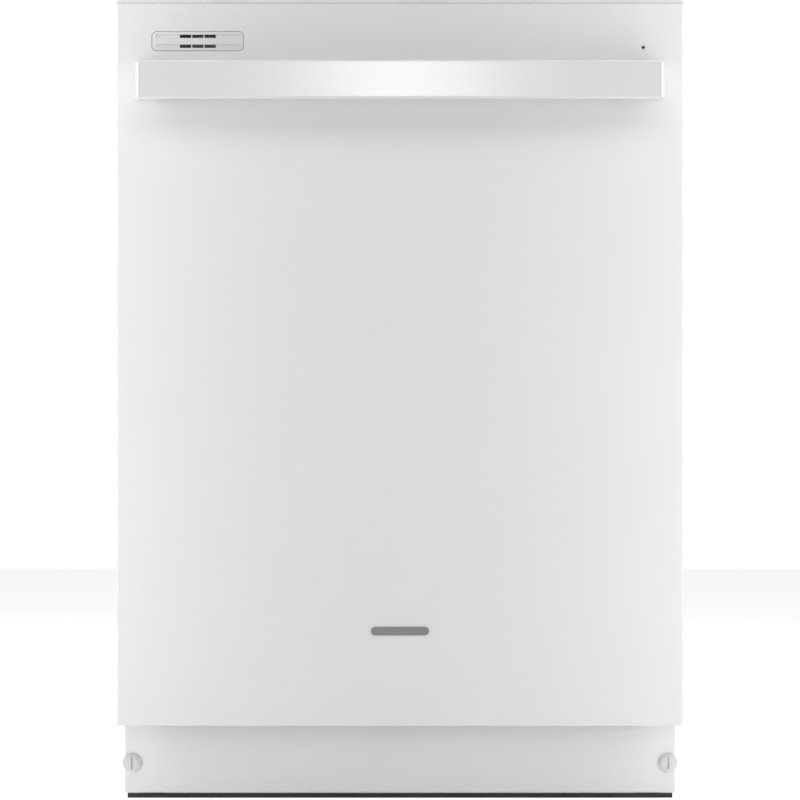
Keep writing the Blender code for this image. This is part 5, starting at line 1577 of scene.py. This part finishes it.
def make_heater():
    """The heating rod: an open ring round the sump, whose two ends go down through the tub's floor."""
    foot = corners("heater_element")[0].z
    radius = 0.186
    gap = math.asin(0.035 / radius)
    end_y = AXIS_Y + math.sqrt(radius ** 2 - 0.035 ** 2)
    path = [(-0.035, end_y, foot), (-0.035, end_y, 0.157)]
    for k in range(1, 96):
        angle = math.pi / 2 + gap + (2 * math.pi - 2 * gap) * k / 96
        lift = 0.163 - 0.006 * math.exp(-min(k, 96 - k) / 1.2)
        path.append((radius * math.cos(angle), AXIS_Y + radius * math.sin(angle), lift))
    path += [(0.035, end_y, 0.157), (0.035, end_y, foot)]
    rod = wires([path], 0.0039, 14)
    clips = []
    for t in (0.0, math.pi, -math.pi / 2):
        spot = (radius * math.cos(t), AXIS_Y + radius * math.sin(t), 0)
        clips.append(disc(spot, "Z", 0.0030, 0.1500, 0.1630, 0.0006, 16))
    nuts = [disc((x, end_y, 0), "Z", 0.0085, 0.1498, 0.1520, 0.0005, 6) for x in (-0.035, 0.035)]
    put(weld("heater", rod, *clips, *nuts), "heater_rod", "root", "bright", "heater_element")


def make_filter():
    """The pierced filter plate and the lift-out filter cup with its grip."""
    low, high = corners("filter_plate")
    plate = disc((0, AXIS_Y, 0), "Z", 0.104, low.z, high.z, 0.0008, 96)
    cup_spot = middle("filter_cup")
    under, over = low.z - 0.01, high.z + 0.01
    tools = [
        disc((0, AXIS_Y, 0), "Z", 0.0145, under, over),
        disc((cup_spot.x, cup_spot.y, 0), "Z", 0.0316, under, over, sides=56),
    ]
    for ring, count in ((0.045, 16), (0.058, 22), (0.071, 28), (0.084, 34)):
        for k in range(count):
            angle = 2 * math.pi * k / count
            x, y = ring * math.cos(angle), ring * math.sin(angle)
            if math.hypot(x - cup_spot.x, y + AXIS_Y - cup_spot.y) > 0.040:
                tools.append(disc((x, AXIS_Y + y, 0), "Z", 0.0026, under, over, 0.0001, 10))
    cut(plate, *tools[:2])
    cut(plate, weld("holes", *tools[2:]))
    put(plate, "filter_plate_shape", "root", "bright", "filter_plate")
    low, high = corners("filter_cup")
    top = high.z - 0.010
    r = 0.031
    x, y = cup_spot.x, cup_spot.y
    profile = [
        (0, low.z), (r - 0.002, low.z), (r, low.z + 0.002), (r, top), (r + 0.004, top),
        (r + 0.004, top + 0.0024), (r + 0.003, top + 0.003), (r - 0.002, top + 0.003),
        (r - 0.002, low.z + 0.003), (0, low.z + 0.003),
    ]
    cup = turned(profile, (x, y, 0), "Z", 64)
    grip = rounded((x - r + 0.001, y - 0.003), (x + r - 0.001, y + 0.003), 0.0028, 6)
    bar = slab(grip, "Z", top - 0.004, high.z)
    ring_r, rings = r + 0.0002, []
    for h in spread(low.z + 0.008, top - 0.006, 12):
        turn = [(x + ring_r * math.cos(t), y + ring_r * math.sin(t), h) for t in spread(0, 2 * math.pi, 33)]
        rings.append(loop_path(turn[:-1], 0.0005, 1))
    filter_cup = weld("filter", cup, soften(bar, 0.0006), wires(rings, 0.0006, 6))
    put(filter_cup, "filter_cup_shape", "filter_cup", "grey", "filter_cup")


def make_water_pipes():
    """The riser up the tub's back to the top sprinkler, and the upper rack's own feed pipe."""
    low, high = corners("water_feed_tube")
    y = high.y - 0.0105
    roof = high.z - 0.0105
    pipe = wires([bent([(0, y, low.z), (0, y, roof), (0, AXIS_Y, roof)], 0.035, 12)], 0.0104, 24)
    port = turned(
        [
            (0, y), (0.012, y), (0.012, y - 0.018), (0.0110, y - 0.020), (0.0085, y - 0.020),
            (0.0085, y - 0.010), (0, y - 0.010),
        ],
        (0, 0, 0.500), "Y", 32,
    )
    head = turned(
        [
            (0.0, 0.788), (0.010, 0.788), (0.024, 0.7915), (0.030, 0.795), (0.030, 0.797), (0.012, 0.803),
            (0.0, 0.805),
        ],
        (0, 0.044, 0), "Z", 48,
    )
    clips = []
    for h in (0.260, 0.400, 0.640):
        outline = rounded((-0.017, h - 0.007), (0.017, h + 0.007), 0.003)
        clips.append(soften(slab(outline, "Y", y + 0.004, y + 0.0115), 0.0005))
    put(weld("riser", pipe, port, head, *clips), "water_riser", "root", "pale", "water_feed_tube")
    z = 0.5085
    pipe = wires([[(0, 0.020, z), (0, 0.150, z), (0, 0.262, z)]], 0.0063, 20)
    funnel = turned(
        [
            (0, 0.258), (0.0070, 0.258), (0.0100, 0.272), (0.0100, 0.280), (0.0088, 0.280), (0.0060, 0.268),
            (0, 0.266),
        ],
        (0, 0, 0.502), "Y", 32,
    )
    pin = disc((0, AXIS_Y, 0), "Z", 0.0038, 0.4830, z, 0.0004, 24)
    cap = disc((0, AXIS_Y, 0), "Z", 0.0090, 0.4810, 0.4854, 0.0010, 32)
    put(weld("feed", pipe, funnel, pin, cap), "rack_feed_pipe", "upper_rack", "pale", "upper_feed_pipe")


def make_float():
    """The overfill float: a cap on a stem through the tub's floor."""
    spot = middle("overfill_float")
    low, high = corners("overfill_float")
    base = high.z - 0.030
    dome = turned(
        [
            (0, low.z), (0.0048, low.z), (0.0048, base), (0.0165, base), (0.0170, base + 0.001),
            (0.0150, high.z - 0.004), (0.0125, high.z - 0.0008), (0.0090, high.z), (0, high.z),
        ],
        (spot.x, spot.y, 0), "Z", 48,
    )
    put(dome, "float_cap", "overfill_float", "pale", "overfill_float")


# ---- base -----------------------------------------------------------------------------------

def make_springs():
    """The door springs: close-wound coils with a hook at each end."""
    for side in ("left", "right"):
        node = "door_spring_" + side
        low, high = corners(node)
        mid = (low + high) / 2
        r, wire = 0.0035, 0.00065
        start, end = low.y + 0.024, high.y - 0.034
        turns = 62
        coil = []
        for k in range(turns * 12 + 1):
            angle = 2 * math.pi * k / 12
            coil.append(
                (
                    mid.x + r * math.cos(angle), start + (end - start) * k / (turns * 12),
                    mid.z + r * math.sin(angle),
                )
            )
        hooks = []
        for at, tip, sign in ((start, low.y, -1), (end, high.y, 1)):
            hook = [
                (at, r), (at + sign * 0.006, 0), (tip - sign * 0.004, 0), (tip - sign * 0.001, 0.003),
                (tip - sign * 0.006, 0.0038),
            ]
            hooks.append(bent([(mid.x, y, mid.z + up) for y, up in hook], 0.002))
        put(wires([coil, *hooks], wire, 7), node + "_coil", "root", "bright", node)


def make_legs_and_wheels():
    """The two threaded levelling legs in front and the two rear wheels."""
    for side in ("left", "right"):
        node = "leveling_leg_" + side
        low, high = corners(node)
        mid = (low + high) / 2
        pad = turned(
            [
                (0, 0), (0.0130, 0), (0.0140, 0.0010), (0.0140, 0.0045), (0.0115, 0.0058), (0.0060, 0.0065),
                (0, 0.0065),
            ],
            (mid.x, mid.y, low.z), "Z", 48,
        )
        nut = soften(disc((mid.x, mid.y, low.z), "Z", 0.0085, 0.0060, 0.0125, 0.0008, 6), 0.0003)
        bm = bmesh.new()
        core = 0.0040
        turns, per = 42, 14    # how often the thread goes round, and in how many steps
        start, end = low.z + 0.0125, high.z - 0.0015
        helix = []
        for k in range(turns * per + 1):
            angle = 2 * math.pi * k / per
            z = start + (end - start) * k / (turns * per)
            helix.append((mid.x + core * math.cos(angle), mid.y + core * math.sin(angle), z))
        sweep(bm, helix, 0.00078, 5)
        thread = link("thread", bm, angle=60)
        stem = disc((mid.x, mid.y, 0), "Z", core, low.z + 0.012, high.z, 0.0008, 32)
        put(weld("leg", pad, nut, thread, stem), node + "_shape", node, "zinc", node)
        node = "rear_wheel_" + side
        low, high = corners(node)
        mid = (low + high) / 2
        half, r = (high.x - low.x) / 2, 0.018
        profile = [
            (0.0036, -half), (0.0065, -half), (0.0065, -half + 0.002), (0.0135, -half + 0.0025),
            (0.0145, -half + 0.0004), (r - 0.0012, -half), (r, -half + 0.0016),
        ]
        put(turned(mirrored(profile), mid, "X", 64), node + "_shape", node, "dark", node)


def make_valve_and_box():
    """The water inlet valve and the wiring box."""
    x, y = -0.220, -0.090
    body = soften(
        slab(rounded((x - 0.018, y - 0.018), (x + 0.018, y + 0.018), 0.004), "Z", 0.068, 0.096), 0.001, 3,
    )
    coil = turned(
        [(0, 0.094), (0.0130, 0.094), (0.0130, 0.122), (0.0120, 0.124), (0, 0.124)], (x, y, 0), "Z", 40,
    )
    thread = [(0.0088 + 0.0007 * (k % 2), 0.0460 + 0.0010 * k) for k in range(20)]
    inlet = turned([(0, 0.044), (0.0080, 0.044), *thread, (0.0088, 0.070), (0, 0.070)], (x, y, 0), "Z", 40)
    outlet = turned(
        [
            (0, y + 0.016), (0.0070, y + 0.016), (0.0070, y + 0.036), (0.0070 - 0.0006, y + 0.037),
            (0.0070, y + 0.038), (0.0066, y + 0.044), (0, y + 0.044),
        ],
        (x, 0, 0.084), "Y", 32,
    )
    put(weld("valve", body, coil, inlet, outlet), "inlet_valve_shape", "root", "white", "inlet_valve")
    low, high = corners("junction_box")
    case = soften(block(low, (high.x, high.y, high.z - 0.0016)), 0.0012, 3)
    edge = 0.0004    # how far the lid stays inside the box's outline
    outline = rounded((low.x + edge, low.y + edge), (high.x - edge, high.y - edge), 0.002)
    lid = soften(slab(outline, "Z", high.z - 0.0015, high.z), 0.0004)
    knock = turned(
        [
            (0.0080, high.y - 0.0001), (0.0110, high.y - 0.0001), (0.0110, high.y), (0.0080, high.y),
            (0.0080, high.y - 0.0001),
        ],
        (0.205, 0, 0.055), "Y", 40,
    )
    put(weld("box", case, lid, knock), "wiring_box", "root", "dark", "junction_box")


def make_kept():
    """CAD nodes whose shape is already right: they get soft edges and a real material."""
    for node in (
        "base_frame", "hinge_bracket_left", "hinge_bracket_right", "hinge_arm_left", "hinge_arm_right",
        "countertop_bracket_left", "countertop_bracket_right", "latch_strike", "latch_hook",
    ):
        keep(node, "zinc", 0.0003)
    for node in ("rack_rail_left", "rack_rail_right"):
        keep(node, "bright", 0.0003)
    keep("control_board", "board", 0.0002)
    make_door_felt()
    number = 0
    frame_back = corners("base_frame")[1].y
    for side in (-1, 1):
        for y, z in ((-0.150, 0.060), (-0.020, 0.120), (0.120, 0.120), (0.290, 0.120), (0.290, 0.060)):
            number += 1
            screw((side * 0.2885, y, z), "X", side, "root", f"frame_screw_{number}", 0.0036)
    for x in (-0.240, -0.080, 0.080, 0.240):
        number += 1
        screw((x, frame_back, 0.075), "Y", 1, "root", f"frame_screw_{number}", 0.0036)


# ---- stage ----------------------------------------------------------------------------------

def make_stage():
    """A white floor, with a glow that only the camera sees."""
    bm = bmesh.new()
    bmesh.ops.create_grid(bm, x_segments=1, y_segments=1, size=6.0)
    floor = link("floor", bm, smooth=False)
    floor.location = (0, 0, -0.0002)
    paper = Shade(
        "stage_paper", (0.93, 0.93, 0.93), 0.85, Emission_Color=(1.0, 1.0, 1.0, 1.0),
        Emission_Strength=0.20,
    )
    paper.vary_colour(paper.noise(0.8, 1.0), (0.93, 0.93, 0.93), 0.004)
    glow = paper.add("ShaderNodeEmission")
    glow.inputs["Strength"].default_value = 0.62
    seen = paper.add("ShaderNodeMixShader")
    total = paper.add("ShaderNodeAddShader")
    paper.join(paper.add("ShaderNodeLightPath").outputs["Is Camera Ray"], seen.inputs[0])
    paper.join(glow.outputs[0], seen.inputs[2])
    paper.join(paper.shader.outputs[0], total.inputs[0]).join(seen.outputs[0], total.inputs[1])
    paper.join(total.outputs[0], paper.tree.nodes["Material Output"].inputs["Surface"])
    floor.data.materials.append(paper.material)


def area_light(name, place, target, size, power):
    """A rectangular light at a place, turned to a target and hidden from the camera."""
    data = bpy.data.lights.new(name, "AREA")
    data.shape = "RECTANGLE"
    data.size, data.size_y = size
    data.energy = power
    lamp = enter(name, data)
    lamp.location = place
    lamp.rotation_euler = (Vector(target) - Vector(place)).to_track_quat("-Z", "Y").to_euler()
    lamp.visible_camera = False


def make_lights():
    """A white studio: a bright backdrop, banks beside, above, in front of and behind the object."""
    scene = bpy.context.scene
    scene.view_settings.view_transform = "Standard"
    world = bpy.data.worlds.new("studio")
    world.use_nodes = True
    tree = world.node_tree
    fill, backdrop = tree.nodes["Background"], tree.nodes.new("ShaderNodeBackground")
    for shader, strength in ((fill, 0.10), (backdrop, 1.05)):
        shader.inputs["Color"].default_value = (1.0, 1.0, 1.0, 1.0)
        shader.inputs["Strength"].default_value = strength
    path = tree.nodes.new("ShaderNodeLightPath")
    mix = tree.nodes.new("ShaderNodeMixShader")
    tree.links.new(path.outputs["Is Camera Ray"], mix.inputs[0])
    tree.links.new(fill.outputs[0], mix.inputs[1])
    tree.links.new(backdrop.outputs[0], mix.inputs[2])
    tree.links.new(mix.outputs[0], tree.nodes["World Output"].inputs[0])
    scene.world = world
    for side, height in ((-1, 0.50), (1, 0.60)):
        area_light(
            f"side_bank_{side}", (side * 0.57, -0.53, height), (side * 0.12, -0.29, height), (0.26, 1.5),
            2.7,
        )
        area_light(f"flank_bank_{side}", (side * 2.4, 0.5, 1.2), (side * 0.3, 0.1, 0.4), (1.2, 1.2), 9)
    area_light("top_bank", (0.0, -2.0, 2.35), (0.0, -0.3, 0.70), (1.4, 0.9), 12.5)
    area_light("rear_bank", (0.8, 2.2, 1.8), (0.0, 0.2, 0.4), (1.6, 1.2), 18)
    area_light("overhead_bank", (0.0, 0.55, 2.5), (0.0, 0.10, 0.8), (2.0, 1.2), 22)
    area_light("front_bank", (0.0, -5.6, 0.9), (0.0, -0.3, 0.6), (0.62, 2.2), 25)


def make_camera():
    """A long lens straight in front, at the height of the door's middle."""
    distance = 4.5
    height = 0.4328
    frame_width = 0.8544
    data = bpy.data.cameras.new("camera")
    data.sensor_width = 36.0
    data.lens = data.sensor_width * distance / frame_width
    camera = enter("camera", data)
    camera.location = (0.0, FACE_Y - distance, height)
    camera.rotation_euler = (math.radians(90), 0, 0)
    data.clip_end = 50
    bpy.context.scene.camera = camera


make_camera()
make_outer_panel()
make_vent()
make_lamp()
make_handle()
make_badge()
make_toe()
make_console()
make_liner()
make_dispenser()
make_tub()
make_gasket()
make_blanket()
make_lower_rack()
make_cutlery_basket()
make_upper_rack()
make_spray_arm("lower_spray_arm", "lower_spray_arm")
make_spray_arm("upper_spray_arm", "upper_spray_arm")
make_sump()
make_pumps()
make_heater()
make_filter()
make_water_pipes()
make_float()
make_springs()
make_legs_and_wheels()
make_valve_and_box()
make_kept()
make_stage()
make_lights()
